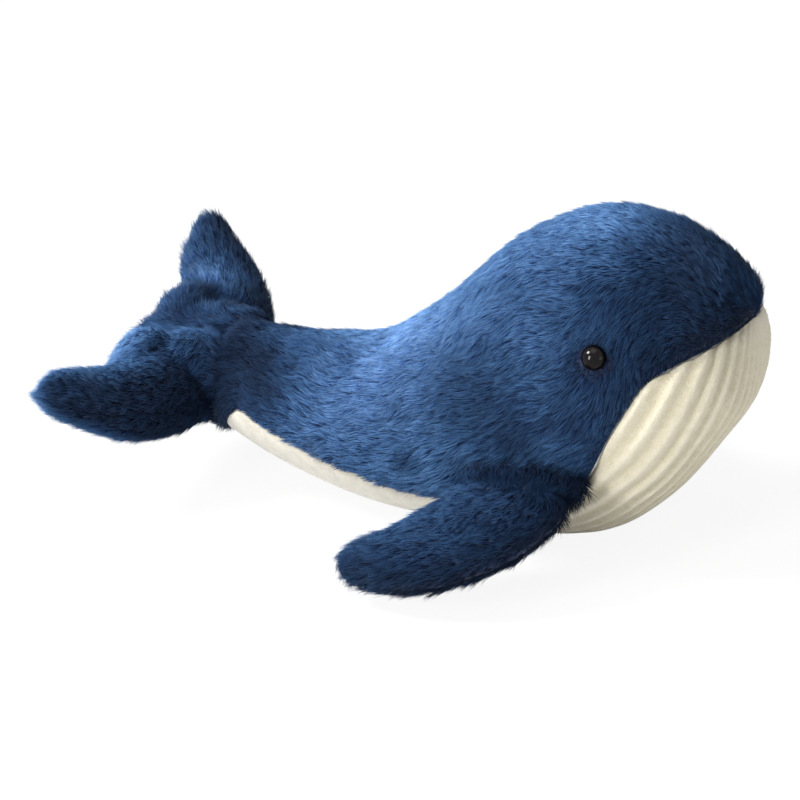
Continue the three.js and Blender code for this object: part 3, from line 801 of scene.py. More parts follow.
# Fine dyed polyester with a dull gloss. Its colour holds a painted shade, darker between the roots, and a
# painted sheen, lighter towards the tips
rise, painted_shade, tuft = (
    add_node(tree, "ShaderNodeAttribute", attribute_name=name)[2] for name in ("rise", "painted_shade", "tuft")
)
place = add_node(tree, "ShaderNodeTexCoord")[3]
cloud = add_node(tree, "ShaderNodeTexNoise", {"Vector": place, "Scale": 70.0, "Detail": 3.0})[0]
# Painted shade at the roots and painted sheen at the tips, along each strand
strand_painted_shade_and_sheen = tree.nodes.new("ShaderNodeValToRGB")
stops = strand_painted_shade_and_sheen.color_ramp.elements
stops[0].color = linear("#15264a")
stops[1].color = linear("#577da5")
stops.new(0.45).color = linear("#2b4b7a")
tree.links.new(rise, strand_painted_shade_and_sheen.inputs["Fac"])
change = add_node(tree, "ShaderNodeMath", {0: tuft, 1: 0.8, 2: 0.6}, operation="MULTIPLY_ADD")[0]
change = add_node(tree, "ShaderNodeMath", {0: cloud, 1: 0.9, 2: change}, operation="MULTIPLY_ADD")[0]
change = add_node(tree, "ShaderNodeMath", {0: change, 1: -0.45}, operation="ADD")[0]
# The pile's painted light and shade, kept on its points, scales the colour
change = add_node(tree, "ShaderNodeMath", {0: change, 1: painted_shade}, operation="MULTIPLY")[0]
# Light that has passed through more fibres comes back bluer, so the places darkened by painted shade keep
# their blue
shares = {
    i: add_node(tree, "ShaderNodeMath", {0: change, 1: power}, operation="POWER")[0]
    for i, power in enumerate((1.25, 1.0, 0.86))
}
change = add_node(tree, "ShaderNodeCombineXYZ", shares)[0]
colour = strand_painted_shade_and_sheen.outputs["Color"]
colour = add_node(tree, "ShaderNodeVectorMath", {0: colour, 1: change}, operation="MULTIPLY")[0]
pile_finish = {"Roughness": 0.6, "Specular IOR Level": 0.1, "Sheen Weight": 0.05, "Sheen Roughness": 0.5}
pile_inputs = {"Base Color": colour, "Sheen Tint": linear("#9fc0ee"), **pile_finish}
shade = add_node(tree, "ShaderNodeBsdfPrincipled", pile_inputs)[0]
tree.links.new(shade, surface)

tree = bpy.data.node_groups.new("combed pile", "GeometryNodeTree")
pile_tree = tree
tree.interface.new_socket("Fabric", in_out="INPUT", socket_type="NodeSocketGeometry")
for name, kind, value in (
    ("Strands per area", "NodeSocketFloat", strands_per_area),
    ("Strand width", "NodeSocketFloat", strand_width),
    ("Tuft spacing", "NodeSocketFloat", tuft_spacing),
    ("Tuft pull", "NodeSocketFloat", 0.4),
    ("Lift", "NodeSocketFloat", 0.36),
    ("Bent share", "NodeSocketFloat", 0.35),
    ("Stray share", "NodeSocketFloat", 1.0),
    ("Seed", "NodeSocketInt", 1),
):
    tree.interface.new_socket(name, in_out="INPUT", socket_type=kind).default_value = value
tree.interface.new_socket("Pile", in_out="INPUT", socket_type="NodeSocketMaterial")
tree.interface.new_socket("Fabric", in_out="OUTPUT", socket_type="NodeSocketGeometry")
fabric, per_area, width, spacing, tuft_pull, lift, bent_share, stray_share, seed, pile_material = [
    socket for socket in tree.nodes.new("NodeGroupInput").outputs if socket.name
]
comb = add_node(tree, "GeometryNodeInputNamedAttribute", {"Name": "comb"}, data_type="FLOAT_VECTOR")[0]
thickness = add_node(tree, "GeometryNodeInputNamedAttribute", {"Name": "thickness"}, data_type="FLOAT")[0]
here = add_node(tree, "GeometryNodeInputPosition")[0]
# Roots all over the fabric, and the middles of the tufts
density = add_node(tree, "ShaderNodeMath", {0: per_area, 1: thickness}, operation="MULTIPLY")[0]
root_inputs = {"Mesh": fabric, "Density": density, "Seed": seed}
roots, root_normal, _ = add_node(tree, "GeometryNodeDistributePointsOnFaces", root_inputs)
tuft_inputs = {"Mesh": fabric, "Distance Min": spacing, "Density Max": most_tufts_per_area, "Seed": seed}
middles = add_node(tree, "GeometryNodeDistributePointsOnFaces", tuft_inputs, distribute_method="POISSON")[0]
nearest = add_node(tree, "GeometryNodeSampleNearest", {"Geometry": middles, "Sample Position": here})[0]
middle_inputs = {"Geometry": middles, "Value": here, "Index": nearest}
middle = add_node(tree, "GeometryNodeSampleIndex", middle_inputs, data_type="FLOAT_VECTOR")[0]
pull = add_node(tree, "ShaderNodeVectorMath", {0: middle, 1: here}, operation="SUBTRACT")[0]
jitter = add_node(tree, "FunctionNodeRandomValue", {"Min": 0.72, "Max": 1.12, "Seed": 3})[0]
own_comb = add_node(tree, "ShaderNodeVectorMath", {0: comb, "Scale": jitter}, operation="SCALE")[0]
# Each strand leans astray by itself, and again together with its tuft
leans = []
for share, draw in ((own_lean_share, {"Seed": 5}), (tuft_lean_share, {"ID": nearest, "Seed": 7})):
    draw.update({"Min": (-1, -1, -1), "Max": (1, 1, 1)})
    lean = add_node(tree, "FunctionNodeRandomValue", draw, data_type="FLOAT_VECTOR")[0]
    leans.append(add_node(tree, "ShaderNodeVectorMath", {0: lean, "Scale": share}, operation="SCALE")[0])
stray = add_node(tree, "ShaderNodeVectorMath", {0: leans[0], 1: leans[1]}, operation="ADD")[0]
tuft_tone = add_node(tree, "FunctionNodeRandomValue", {"Min": 0.0, "Max": 1.0, "ID": nearest, "Seed": 9})[0]
own_tone = add_node(tree, "FunctionNodeRandomValue", {"Min": 0.0, "Max": 1.0, "Seed": 11})[0]
mixed_tone = add_node(tree, "ShaderNodeMath", {0: own_tone, 1: tuft_tone}, operation="ADD")[0]
mixed_tone = add_node(tree, "ShaderNodeMath", {0: mixed_tone, 1: 0.5}, operation="MULTIPLY")[0]
number = add_node(tree, "GeometryNodeInputIndex")[0]
flow = roots
for name, kind, value in (
    ("root", "FLOAT_VECTOR", here),
    ("face", "FLOAT_VECTOR", root_normal),
    ("pull", "FLOAT_VECTOR", pull),
    ("stray", "FLOAT_VECTOR", stray),
    ("comb", "FLOAT_VECTOR", own_comb),
    ("tuft", "FLOAT", mixed_tone),
    ("number", "FLOAT", number),
):
    kept = {"Geometry": flow, "Name": name, "Value": value}
    flow = add_node(tree, "GeometryNodeStoreNamedAttribute", kept, data_type=kind)[0]
total = add_node(tree, "GeometryNodeAttributeDomainSize", {"Geometry": flow}, component="POINTCLOUD")[0]
# One strand is a slender cone of three sides: in two lengths where it bends, in one in the growth below
chance = {"Probability": bent_share, "Seed": 13}
bends = add_node(tree, "FunctionNodeRandomValue", chance, data_type="BOOLEAN")[0]
stays = add_node(tree, "FunctionNodeBooleanMath", {0: bends}, operation="NOT")[0]
both = tree.nodes.new("GeometryNodeJoinGeometry")
cone_inputs = {"Vertices": 3, "Fill Segments": 1, "Radius Top": 0.0, "Radius Bottom": 1.0, "Depth": 1.0}
for lengths, chosen in ((2, bends), (1, stays)):
    cone = add_node(tree, "GeometryNodeMeshCone", {"Side Segments": lengths, **cone_inputs})[0]
    height = add_node(tree, "ShaderNodeSeparateXYZ", {"Vector": here})[2]
    for name, kind, value in (("rise", "FLOAT", height), ("across", "FLOAT_VECTOR", here)):
        kept = {"Geometry": cone, "Name": name, "Value": value}
        cone = add_node(tree, "GeometryNodeStoreNamedAttribute", kept, data_type=kind)[0]
    planted = {"Points": flow, "Selection": chosen, "Instance": cone}
    strands = add_node(tree, "GeometryNodeInstanceOnPoints", planted)[0]
    tree.links.new(strands, both.inputs[0])
flow = add_node(tree, "GeometryNodeRealizeInstances", {"Geometry": both.outputs[0]})[0]
read = {
    name: add_node(tree, "GeometryNodeInputNamedAttribute", {"Name": name}, data_type="FLOAT_VECTOR")[0]
    for name in ("root", "face", "pull", "stray", "across")
}
length = add_node(tree, "ShaderNodeVectorMath", {0: comb}, operation="LENGTH")[0]
aside = add_node(tree, "ShaderNodeVectorMath", {0: read["face"], 1: comb}, operation="CROSS_PRODUCT")[0]
aside = add_node(tree, "ShaderNodeVectorMath", {0: aside}, operation="NORMALIZE")[0]
across = add_node(tree, "ShaderNodeSeparateXYZ", {"Vector": read["across"]})
sums = {
    name: add_node(tree, "GeometryNodeInputNamedAttribute", {"Name": name}, data_type="FLOAT")[0]
    for name in ("rise", "number")
}
sums.update({"x": across[0], "y": across[1], "length": length, "lift": lift, "width": width, "total": total})
sums.update({"tuft pull": tuft_pull, "stray share": stray_share})
for name, operation, *terms in (
    # Each strand leaves the fabric steeply and lies down towards its tip
    ("square", "MULTIPLY", "rise", "rise"),
    ("lie", "MULTIPLY_ADD", "rise", 0.45, 0.55),
    ("lie", "MULTIPLY", "lie", "rise"),
    ("stand", "SUBTRACT", 2.0, "rise"),
    ("stand", "MULTIPLY", "stand", "rise"),
    ("stand", "MULTIPLY", "stand", "length"),
    ("stand", "MULTIPLY", "stand", "lift"),
    ("gather", "MULTIPLY", "square", "tuft pull"),
    ("roam", "MULTIPLY", "square", "length"),
    ("roam", "MULTIPLY", "roam", "stray share"),
    # Its three sides stand about that line, with a ridge outwards, and it is thickest below the middle
    ("fuller", "SUBTRACT", "rise", "square"),
    ("fuller", "MULTIPLY_ADD", "fuller", 3.6, 1.0),
    ("fuller", "MULTIPLY", "fuller", "width"),
    ("out", "MULTIPLY", "x", "fuller"),
    ("side", "MULTIPLY", "y", "fuller"),
    # Every strand has its own small cell in the map that textures are kept in
    ("cells", "SQRT", "total"),
    ("cells", "CEIL", "cells"),
    ("row", "DIVIDE", "number", "cells"),
    ("row", "FLOOR", "row"),
    ("column", "MODULO", "number", "cells"),
    ("u", "MULTIPLY_ADD", "y", 0.35, 0.5),
    ("u", "ADD", "column", "u"),
    ("u", "DIVIDE", "u", "cells"),
    ("v", "MULTIPLY_ADD", "rise", 0.8, 0.1),
    ("v", "ADD", "row", "v"),
    ("v", "DIVIDE", "v", "cells"),
):
    inputs = {i: sums.get(term, term) for i, term in enumerate(terms)}
    sums[name] = add_node(tree, "ShaderNodeMath", inputs, operation=operation)[0]
spot = read["root"]
for way, amount in (
    (comb, "lie"),
    (read["face"], "stand"),
    (read["pull"], "gather"),
    (read["stray"], "roam"),
    (read["face"], "out"),
    (aside, "side"),
):
    offset = add_node(tree, "ShaderNodeVectorMath", {0: way, "Scale": sums[amount]}, operation="SCALE")[0]
    spot = add_node(tree, "ShaderNodeVectorMath", {0: spot, 1: offset}, operation="ADD")[0]
flow = add_node(tree, "GeometryNodeSetPosition", {"Geometry": flow, "Position": spot})[0]
cell = add_node(tree, "ShaderNodeCombineXYZ", {0: sums["u"], 1: sums["v"]})[0]
kept = {"Geometry": flow, "Name": "OFBake", "Value": cell}
flow = add_node(tree, "GeometryNodeStoreNamedAttribute", kept, data_type="FLOAT2", domain="CORNER")[0]
for name in ("root", "face", "pull", "stray", "comb", "across", "number", "thickness"):
    flow = add_node(tree, "GeometryNodeRemoveAttribute", {"Geometry": flow, "Name": name})[0]
flow = add_node(tree, "GeometryNodeSetShadeSmooth", {"Geometry": flow})[0]
flow = add_node(tree, "GeometryNodeSetMaterial", {"Geometry": flow, "Material": pile_material})[0]
tree.links.new(flow, tree.nodes.new("NodeGroupOutput").inputs[0])


def wandering(points, size, seed_shift):
    """Smooth random numbers, mostly from -1 to 1, over the points, with swirls of that size."""
    spread = 1.6
    flat = points.reshape(-1, 3) / size + seed_shift
    return np.array([noise.noise(Vector(p)) for p in flat]).reshape(points.shape[:-1]) * spread


def combed(ways, normals, points, swirls):
    """Turns directions in the plane of the fabric by swirls, each with a strength, a size and a shift."""
    angles = sum(strength * wandering(points, size, shift) for strength, size, shift in swirls)
    return ways * np.cos(angles)[..., None] + np.cross(normals, ways) * np.sin(angles)[..., None]


def grow_pile(name, vertices, faces, comb_vectors, thick, painted_shades, seed_number, **changes):
    """Grows combed pile on a sheet of fabric, and returns it as one plain mesh."""
    mesh = new_mesh(name + "_sheet", vertices, faces)
    mark_points(mesh, "comb", "FLOAT_VECTOR", "vector", comb_vectors)
    mark_points(mesh, "thickness", "FLOAT", "value", thick)
    # The painted light and shade of the pile, kept on its points
    mark_points(mesh, "painted_shade", "FLOAT", "value", painted_shades)
    fabric_sheet = in_scene(name + "_sheet", mesh)
    modifier = fabric_sheet.modifiers.new("pile", "NODES")
    modifier.node_group = pile_tree
    settings = {
        "Strands per area": strands_per_area * 1,
        "Seed": seed_number,
        "Pile": blue_pile,
        **changes,
    }
    for item in pile_tree.interface.items_tree:
        if item.in_out == "INPUT" and item.name in settings:
            modifier[item.identifier] = settings[item.name]
    bpy.context.view_layer.update()
    ready = bpy.context.evaluated_depsgraph_get()
    grown = bpy.data.meshes.new_from_object(fabric_sheet.evaluated_get(ready))
    bpy.data.objects.remove(fabric_sheet)
    grown.name = name
    return in_scene(name, grown)


# Painted light and shade on the pile, in patches: the middle of the place, its reach, the change,
# and the side, where 1 is left, -1 is right and 0 is both
painted_light_patches = (
    (0.066, 0.030, 0.122, 0.028, -0.13, 0),
    (0.090, 0.008, 0.135, 0.018, 0.75, 0),
    (0.114, 0.014, 0.123, 0.022, -0.25, 0),
    (0.130, 0.004, 0.110, 0.016, 0.8, 0),
    (0.104, 0.044, 0.100, 0.024, -0.4, 0),
    (0.078, 0.053, 0.072, 0.018, -0.25, 0),
    (0.003, 0.018, 0.078, 0.032, 0.75, 0),
    (-0.021, 0.032, 0.055, 0.014, 0.3, 0),
    (0.036, 0.046, 0.078, 0.018, -0.58, 0),
    (0.054, 0.052, 0.060, 0.022, -0.62, 0),
    (0.002, 0.044, 0.046, 0.022, -0.2, 0),
    (0.013, 0.045, 0.041, 0.007, -0.65, 0),
    (0.020, 0.046, 0.034, 0.006, 0.5, 0),
    (-0.066, 0.018, 0.058, 0.016, -0.8, 0),
    (-0.058, 0.031, 0.049, 0.014, -0.74, 0),
    (-0.120, 0.024, 0.060, 0.011, 1.7, -1),
    (-0.098, 0.022, 0.060, 0.011, -0.4, -1),
    (-0.095, 0.038, 0.050, 0.012, -0.25, -1),
    (-0.123, 0.073, 0.060, 0.018, 0.22, -1),
    (-0.107, 0.032, 0.069, 0.012, 2.6, 1),
    (-0.127, 0.062, 0.082, 0.014, -0.25, 1),
)
# Painted shade from the way the pile faces: lightest where it faces the tail, darkest where it faces the nose
tail_tone_share = 1.12
nose_painted_shade_share = 0.965
facing_start = -0.5
facing_span = 1.15


def painted_pile_light(points, normals):
    """How light the pile looks, as painted light and shade: painted shade darkens it where it faces the nose,
    and each patch paints it darker or lighter.
    """
    facing = ramp(normals[..., 0], facing_start, facing_span)
    painted_shade = tail_tone_share - nose_painted_shade_share * facing**2 * (3 - 2 * facing)
    for x, y, z, reach, change, hand in painted_light_patches:
        aside = points[..., 1] * hand if hand else np.abs(points[..., 1])
        away = np.hypot(np.hypot(points[..., 0] - x, aside - y), points[..., 2] - z)
        painted_shade = painted_shade * (1 + change * near(away, reach))
    return painted_shade


# What changes the pile: the seams, the jaw, the flipper's root, the eye and the tail
seam_hang_share = 0.35
seam_hang_reach = 0.012
seam_short_share = 0.3
seam_short_reach = 0.008
jaw_start = 0.03
jaw_span = 0.03
jaw_hang_loss_share = 0.9
jaw_short_share = 0.35
# Swirls in the combing: how far they turn it, in radians, and their size
wide_swirl = (0.45, 0.03)
fine_swirl = (0.4, 0.011)
weight_way = np.array([0, 0, -0.1])
back_seam_lean_share = 0.5
back_seam_reach = 0.003
root_way = np.array([-0.5, 1.0, 0.0])
root_lean_share = 1.2
root_reach_share = 0.8
eye_parting = 0.0035
eye_opening = 0.0052
eye_short_share = 0.6
eye_painted_shade_share = 0.5
stem_long_share = 0.3
stem_end = 0.070
stem_end_span = 0.008
fluke_shade_start = 0.055
fluke_shade_span = 0.024
to_fluke_painted_shade_share = 0.78
# Two folds of the tail's stem, painted as shade with no fold in the fabric
painted_fold_lines = (-0.0515, -0.0625)
fold_slant_share = 0.12
fold_middle = 0.05
fold_width = 0.003
fold_painted_shade_share = 0.35
fold_start = 0.008
fold_span = 0.012
part_shares = (0.34, 0.67)

for hand, side in both_sides:
    sheet_points, normals, seated, eye_away, up, down = side_sheets[side]
    x, z = sheet_points[..., 0], sheet_points[..., 2]
    back = -unit(np.gradient(sheet_points, axis=0))
    low = unit(-np.gradient(sheet_points, axis=1))
    # Near the cream the pile hangs a little over the seam, and round the eye it parts and is short
    hang = near(up, seam_hang_reach)[..., None]
    jaw = ramp(x, jaw_start, jaw_span)
    ways = unit(back + low * seam_hang_share * hang * (1 - jaw_hang_loss_share * jaw)[..., None] + weight_way)
    # It hides the seam over the back, where it leans across
    ways = unit(ways - low * back_seam_lean_share * near(down, back_seam_reach)[..., None])
    # Over the shoulder it runs on to the flipper
    root, root_turn = flipper_place(hand, side)
    off_root = np.linalg.norm((sheet_points - root) @ root_turn / flipper_root_sizes, axis=-1)
    at_root = near(np.maximum(off_root - 1, 0), root_reach_share)[..., None]
    ways = unit(ways + (root_turn @ root_way) * root_lean_share * at_root)
    ways = combed(ways, normals, sheet_points, ((*wide_swirl, 3.0 * hand), (*fine_swirl, 11.0)))
    near_eye = near(np.maximum(eye_away - eye_radius, 0), eye_parting)
    seam_short = (seam_short_share + jaw_short_share * jaw) * near(up, seam_short_reach)
    lengths = pile_length * (1 - eye_short_share * near_eye) * (1 - seam_short)
    lengths = lengths * (1 + stem_long_share * ramp(-x, stem_end, stem_end_span))
    thick = np.where(seated | (eye_away < eye_opening), 0.0, 1.0)
    # Painted shade round the eye, on top of the pile's painted light and shade
    painted_shades = painted_pile_light(sheet_points, normals) * (1 - eye_painted_shade_share * near_eye)
    # Painted shade darkens it towards the fluke, and two shallow folds across the tail's stem are painted as
    # shade only
    painted_shades = painted_shades * (1 - to_fluke_painted_shade_share * eased(ramp(-x, fluke_shade_start, fluke_shade_span)))
    for fold in painted_fold_lines:
        off_fold = x - fold - fold_slant_share * (z - fold_middle)
        painted_shades = painted_shades * (1 - fold_painted_shade_share * near(off_fold, fold_width) * ramp(up, fold_start, fold_span))
    # Each side grows in three parts, so that every mesh stays light
    rows, columns = up.shape
    middle_steps = np.linalg.norm(np.gradient(sheet_points[:, columns // 2], axis=0), axis=-1)
    areas = np.cumsum(up[:, -1] * middle_steps)
    cuts = [0, *np.searchsorted(areas / areas[-1], part_shares), rows - 1]
    for part, (start, end) in zip(("tail", "chest", "head"), zip(cuts[:-1], cuts[1:])):
        span = slice(start, end + 1)
        faces = [
            (r * columns + c, r * columns + c + 1, (r + 1) * columns + c + 1, (r + 1) * columns + c)[::hand]
            for r in range(end - start)
            for c in range(columns - 1)
        ]
        piece = grow_pile(
            f"side_pile_{side}_{part}",
            sheet_points[span],
            faces,
            ways[span] * lengths[span][..., None],
            thick[span],
            painted_shades[span],
            20 + int(start) + (hand > 0),
            **{"Lift": 0.31, "Stray share": 0.75, "Tuft pull": 0.34},
        )
        if part == "tail":
            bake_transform(piece)
        else:
            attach(piece, "torso")

# Flippers
# Each flipper is two pieces of the blue plush sewn edge to edge, lightly filled, and sewn to the side panel
# along its root. Its pile is combed from the root to the tip and hangs over the tip.
flipper_chord = 0.054
flipper_reach = 0.066
flipper_thickness = 0.020
flipper_rows = np.array([
    # leading edge: forward, out; trailing edge: forward, out; thickness
    [0.475, 0.265, -0.475, 0.17, 0.84],
    [0.375, 0.495, -0.615, 0.35, 0.96],
    [0.185, 0.715, -0.79, 0.54, 1.0],
    [-0.11, 0.9, -0.985, 0.69, 0.93],
    [-0.44, 0.995, -1.06, 0.8, 0.75],
    [-0.68, 1.0, -1.02, 0.9, 0.44],
    [-0.865, 0.975, -0.865, 0.975, 0.0],
])
flipper_pile_length = 0.0062
fin_wide_swirl = (0.3, 0.02)
fin_fine_swirl = (0.3, 0.008)
seat_gap = 0.001
seat_fade = 0.003
edge_width = 0.2
edge_short_share = 0.3
edge_painted_shade_share = 0.3
edge_dip = 0.0011
edge_dip_span = 0.02
front_start = 0.01
front_reach = 0.025
front_long_share = 0.6
front_painted_light_share = 0.7
tip_start = 0.052
tip_span = 0.012
tip_long_share = 0.2
tip_painted_shade_share = 0.55
tip_shade_start = 0.045
tip_shade_span = 0.02
flipper_painted_shade_share = 0.38


def back_fin(fin, body, vertices, faces):
    """The sewn backing of a fin: a closed outside with a closed inside that faces the filling."""
    outside, _ = sunk(vertices, faces, fin_backing_depth)
    inside, _ = sunk(vertices, faces, fin_lining_depth)
    skin = finished(f"{fin}_backing", outside, faces, blue_backing)
    lining = finished(f"{fin}_lining", inside, faces, blue_backing)
    built = bmesh.new()
    built.from_mesh(lining.data)
    bmesh.ops.reverse_faces(built, faces=built.faces)
    built.from_mesh(skin.data)
    built.to_mesh(skin.data)
    built.free()
    bpy.data.objects.remove(lining)
    smooth_all(skin.data)
    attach(skin, body)
    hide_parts(f"{fin}_upper_skin", f"{fin}_lower_skin")


def on_fabric(ways, normals):
    """Directions laid flat on the fabric."""
    return unit(ways - normals * (ways * normals).sum(-1, keepdims=True))


neck_turn = math.asin(flipper_rows[0, 4] * flipper_thickness / 2 / flipper_root_radius)
long, thin = flipper_root_half_chord, flipper_root_radius
root_rows = np.array([
    [math.sin(t) * long, -math.cos(t) * thin, -math.sin(t) * long, -math.cos(t) * thin, math.sin(t) * thin]
    for t in np.linspace(0, math.pi - neck_turn, 11)[1:]
])
paddle = flipper_rows * [flipper_chord, flipper_reach, flipper_chord, flipper_reach, flipper_thickness / 2]
table = np.vstack([root_rows[-1:], paddle])
rows = np.vstack([root_rows, read_rows(table, np.linspace(0, len(table) - 1, 64))[1:-1]])
rows = np.hstack([rows, np.zeros((len(rows), 1))])
flipper_rings = fin_rings(rows, fin_sides)
ends = [[0, -flipper_root_radius, 0], [*paddle[-1, :2], 0]]
flipper_points = np.vstack([flipper_rings.reshape(-1, 3), ends])
flipper_faces = tube_faces(len(flipper_rings), fin_sides)
flipper_flow = np.gradient(flipper_rings, axis=0).reshape(-1, 3)
flipper_flow = np.vstack([flipper_flow, [[0, 1, 0]], flipper_flow[-1:]])
body_form = BVHTree.FromPolygons(body_stuffing_points.tolist(), body_stuffing_faces)
for hand, side in both_sides:
    seam, turn = flipper_place(hand, side)
    placed = flipper_points @ turn.T + seam
    back_fin(f"flipper_{side}", f"flipper_{side}", placed, flipper_faces)
    fill_fin(f"flipper_{side}", f"flipper_{side}", placed, flipper_faces)
    sheet_points, normals = sunk(placed, flipper_faces, fin_backing_depth)
    ways = on_fabric(flipper_flow @ turn.T, normals)
    ways = combed(ways, normals, sheet_points, ((*fin_wide_swirl, 5.0 * hand), (*fin_fine_swirl, 1.0)))
    # No pile grows where the root lies in its seat, and it is short in the seam round the edge
    away = []
    for point in sheet_points:
        spot, face_way, _, _ = body_form.find_nearest(Vector(point))
        away.append((Vector(point) - spot).dot(face_way))
    thick = ramp(np.array(away), seat_gap, seat_fade)
    around = np.tile(np.linspace(0, 2 * math.pi, fin_sides, endpoint=False), len(flipper_rings))
    edge = np.concatenate([near(np.sin(around), edge_width), [0.0, 0.0]])
    out = flipper_points[:, 1]
    sheet_points = sheet_points - normals * (edge_dip * edge * ramp(out, 0, edge_dip_span))[:, None]
    front = flipper_points[:, 0] > front_start
    lengths = flipper_pile_length * (1 - edge_short_share * edge)
    lengths = lengths * (1 + tip_long_share * ramp(out, tip_start, tip_span))
    lengths = lengths * (1 + front_long_share * front * np.clip(1 - out / front_reach, 0, 1))
    # Painted shade darkens the flipper's pile, more at its edge and tip, with painted light along the front
    # of its edge
    painted_shades = painted_pile_light(sheet_points, normals) * flipper_painted_shade_share
    painted_shades = painted_shades * (1 + (front_painted_light_share * front - edge_painted_shade_share) * edge)
    painted_shades = painted_shades * (1 - tip_painted_shade_share * ramp(out, tip_shade_start, tip_shade_span))
    piece = grow_pile(
        f"flipper_{side}_pile",
        sheet_points,
        [f[::hand] for f in flipper_faces],
        ways * lengths[:, None],
        thick,
        painted_shades,
        60 + (hand > 0),
        Lift=0.3,
    )
    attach(piece, f"flipper_{side}")

# Fluke
# Each lobe of the tail fluke is two pieces of the blue plush round one light filling, sewn across the tail's
# end by its root. The pile is combed from the middle out to each tip.
guide_start = np.array([[0.01, 0.004, 0.0]])
guide_first_row = 10
guide_way = np.array([-0.25, 0, 0])
inner_width = 0.006
inner_way = np.array([-1.0, -0.45, 0.0])
sleeve_cover_share = 0.93
fluke_painted_shade_share = 0.65
crease_shade_share = 0.5
crease_width = 0.007
cut_face_width = 1e-5

# The pile follows a line through the middle of a lobe, and turns straight back where the lobes meet
guide = np.hstack([(lobe_rows[:, 0:2] + lobe_rows[:, 2:4]) / 2, lobe_rows[:, 5:6]])
guide = np.vstack([guide_start, guide[guide_first_row:]])
guide_ways = unit(np.gradient(guide, axis=0))
nearest = np.argmin(((lobe_points[:, None, :] - guide[None, :, :]) ** 2).sum(-1), axis=1)
inner = near(lobe_points[:, 1:2], inner_width)
lobe_flow = unit(unit(guide_ways[nearest] + guide_way) * (1 - inner) + inner_way * inner)
for hand, side in both_sides:
    turn = fluke_turn @ np.diag([1, hand, 1])
    placed = fluke_lobes[side]
    outline = [f[::hand] for f in lobe_faces]
    back_fin(f"fluke_{side}", "fluke", placed, outline)
    sheet_points, normals = sunk(placed, outline, fin_backing_depth)
    ways = on_fabric(lobe_flow @ turn.T, normals)
    ways = combed(ways, normals, sheet_points, ((*fin_wide_swirl, 7.0 * hand), (*fin_fine_swirl, 2.0)))
    # No pile grows inside the tail's sleeve or between the lobes
    x, y, z = sheet_points.T
    past = np.clip((tail_end + body_origin[0] - x) / sleeve_length, 0, 1)
    over, out, under = (body_ring(tail_place - past, t) for t in (math.pi / 2, 0.0, -math.pi / 2))
    centre, high = (over[:, 2] + under[:, 2]) / 2, (over[:, 2] - under[:, 2]) / 2
    lean = (out[:, 2] - centre) / out[:, 1]
    in_sleeve = np.hypot(y / out[:, 1], (z - centre - y * lean) / high) < sleeve_cover_share
    thick = np.where(in_sleeve & (x > tail_end + body_origin[0] - sleeve_length), 0.0, 1.0)
    # Painted shade darkens the fluke's pile all over
    painted_shades = painted_pile_light(sheet_points, normals) * fluke_painted_shade_share
    if side == "left":
        # The far lobe is in the near one's shade along the middle
        painted_shades = painted_shades * (1 - crease_shade_share * near(lobe_points[:, 1], crease_width))
    piece = grow_pile(
        f"fluke_{side}_pile",
        sheet_points,
        [f for f in outline if max(abs(lobe_points[v][1]) for v in f) > cut_face_width],
        ways * pile_length,
        thick,
        painted_shades,
        80 + (hand > 0),
        Lift=0.34,
    )
    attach(piece, "fluke")

# Stage
# A plain pale floor under soft studio light, with the camera where the photographer stood: 22 degrees round
# from the whale's right side towards its head, and 24 degrees above it.
floor_half = 4.0
floor_glow_share = 0.9
world_light = 0.38
camera_turn = math.radians(22)
camera_rise = math.radians(24)
camera_distance = 1.3
camera_target = Vector((-0.00739, 0, 0.00374))
aim_left = 0.00502
aim_up = 0.0383
sensor_width_mm = 36
lens_mm = 139.77


def seen_share(tree):
    """One where the camera sees something, straight or by way of gloss or glass, and nought for its light."""
    rays = add_node(tree, "ShaderNodeLightPath")
    seen = add_node(tree, "ShaderNodeMath", {0: rays[0], 1: rays[3]}, operation="MAXIMUM")[0]
    return add_node(tree, "ShaderNodeMath", {0: seen, 1: rays[6]}, operation="MAXIMUM")[0]


def way_to(turn, rise):
    """The direction from the whale at a turn round it and a rise above the floor."""
    return Vector((math.cos(turn) * math.cos(rise), math.sin(turn) * math.cos(rise), math.sin(rise)))


def looking(name, data, spot, way):
    """Sets up a lamp or a camera at a spot, facing along a direction."""
    placed = in_scene(name, data)
    placed.matrix_world = Matrix.Translation(spot) @ way.to_track_quat("-Z", "Y").to_matrix().to_4x4()
    return placed


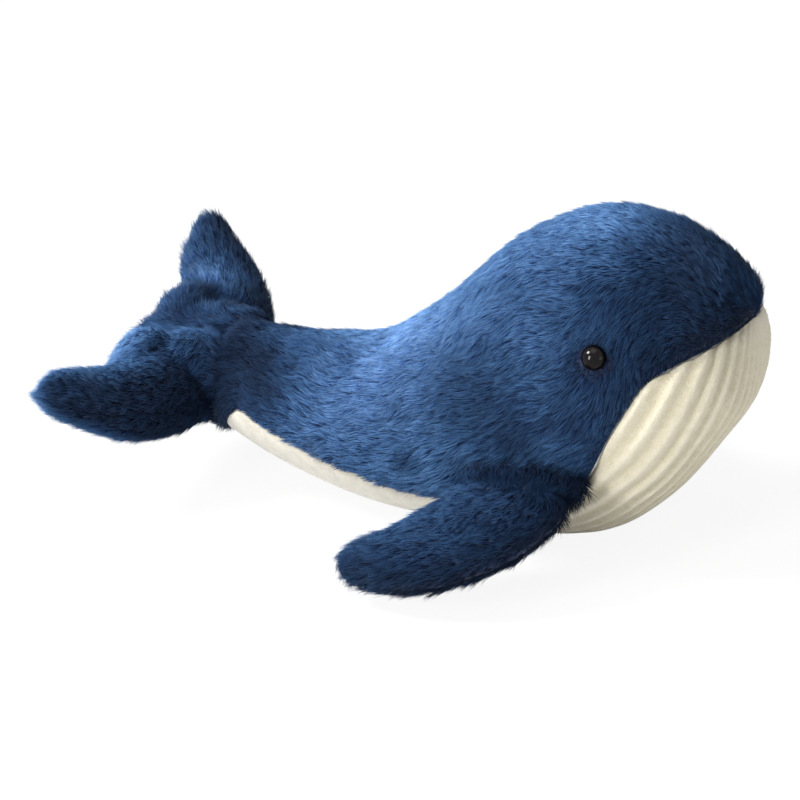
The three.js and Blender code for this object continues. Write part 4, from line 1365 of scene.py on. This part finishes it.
paper, tree, surface = new_material("white_paper")
matt = add_node(tree, "ShaderNodeBsdfDiffuse", {"Color": linear("#f2f2f1"), "Roughness": 0.5})[0]
glow = add_node(tree, "ShaderNodeEmission", {"Color": linear("#ffffff"), "Strength": 1.0})[0]
seen = add_node(tree, "ShaderNodeMath", {0: seen_share(tree), 1: floor_glow_share}, operation="MULTIPLY")[0]
mixed = add_node(tree, "ShaderNodeMixShader", {0: seen, 1: matt, 2: glow})[0]
tree.links.new(mixed, surface)
corners = [(x * floor_half, y * floor_half, 0) for x, y in ((-1, -1), (1, -1), (1, 1), (-1, 1))]
floor = in_scene("floor", new_mesh("floor", corners, [(0, 1, 2, 3)]))
floor.data.materials.append(paper)

world = bpy.data.worlds.new("studio")
world.use_nodes = True
tree = world.node_tree
tree.nodes.clear()
soft, clear = (
    add_node(tree, "ShaderNodeBackground", {"Color": linear("#ffffff"), "Strength": strength})[0]
    for strength in (world_light, 1.0)
)
mixed = add_node(tree, "ShaderNodeMixShader", {0: seen_share(tree), 1: soft, 2: clear})[0]
tree.links.new(mixed, tree.nodes.new("ShaderNodeOutputWorld").inputs["Surface"])
bpy.context.scene.world = world

back = way_to(camera_turn - math.pi / 2, camera_rise)
right = Vector((math.cos(camera_turn), math.sin(camera_turn), 0))
upward = back.cross(right)
aim = camera_target - right * aim_left + upward * aim_up
eye_point = camera_target + back * camera_distance
camera_data = bpy.data.cameras.new("camera")
camera_data.sensor_width = sensor_width_mm
camera_data.lens = lens_mm
bpy.context.scene.camera = looking("camera", camera_data, eye_point, aim - eye_point)

for name, turn_degrees, rise_degrees, distance, width, height, power in (
    # turns count from the camera, positive to its right
    ("key", -82, 46, 1.4, 0.44, 0.44, 30),
    ("overhead", -40, 78, 1.4, 0.9, 0.9, 5),
    ("window", -44, 18, 1.3, 0.3, 0.56, 14),
    ("fill", 50, 12, 1.8, 0.7, 0.7, 3),
):
    way = way_to(camera_turn - math.pi / 2 + math.radians(turn_degrees), math.radians(rise_degrees))
    lamp = bpy.data.lights.new(name, "AREA")
    lamp.shape = "RECTANGLE"
    lamp.size = width
    lamp.size_y = height
    lamp.energy = power
    looking(name, lamp, way * distance, -way)

bpy.context.scene.view_settings.view_transform = "Standard"
bpy.context.view_layer.update()
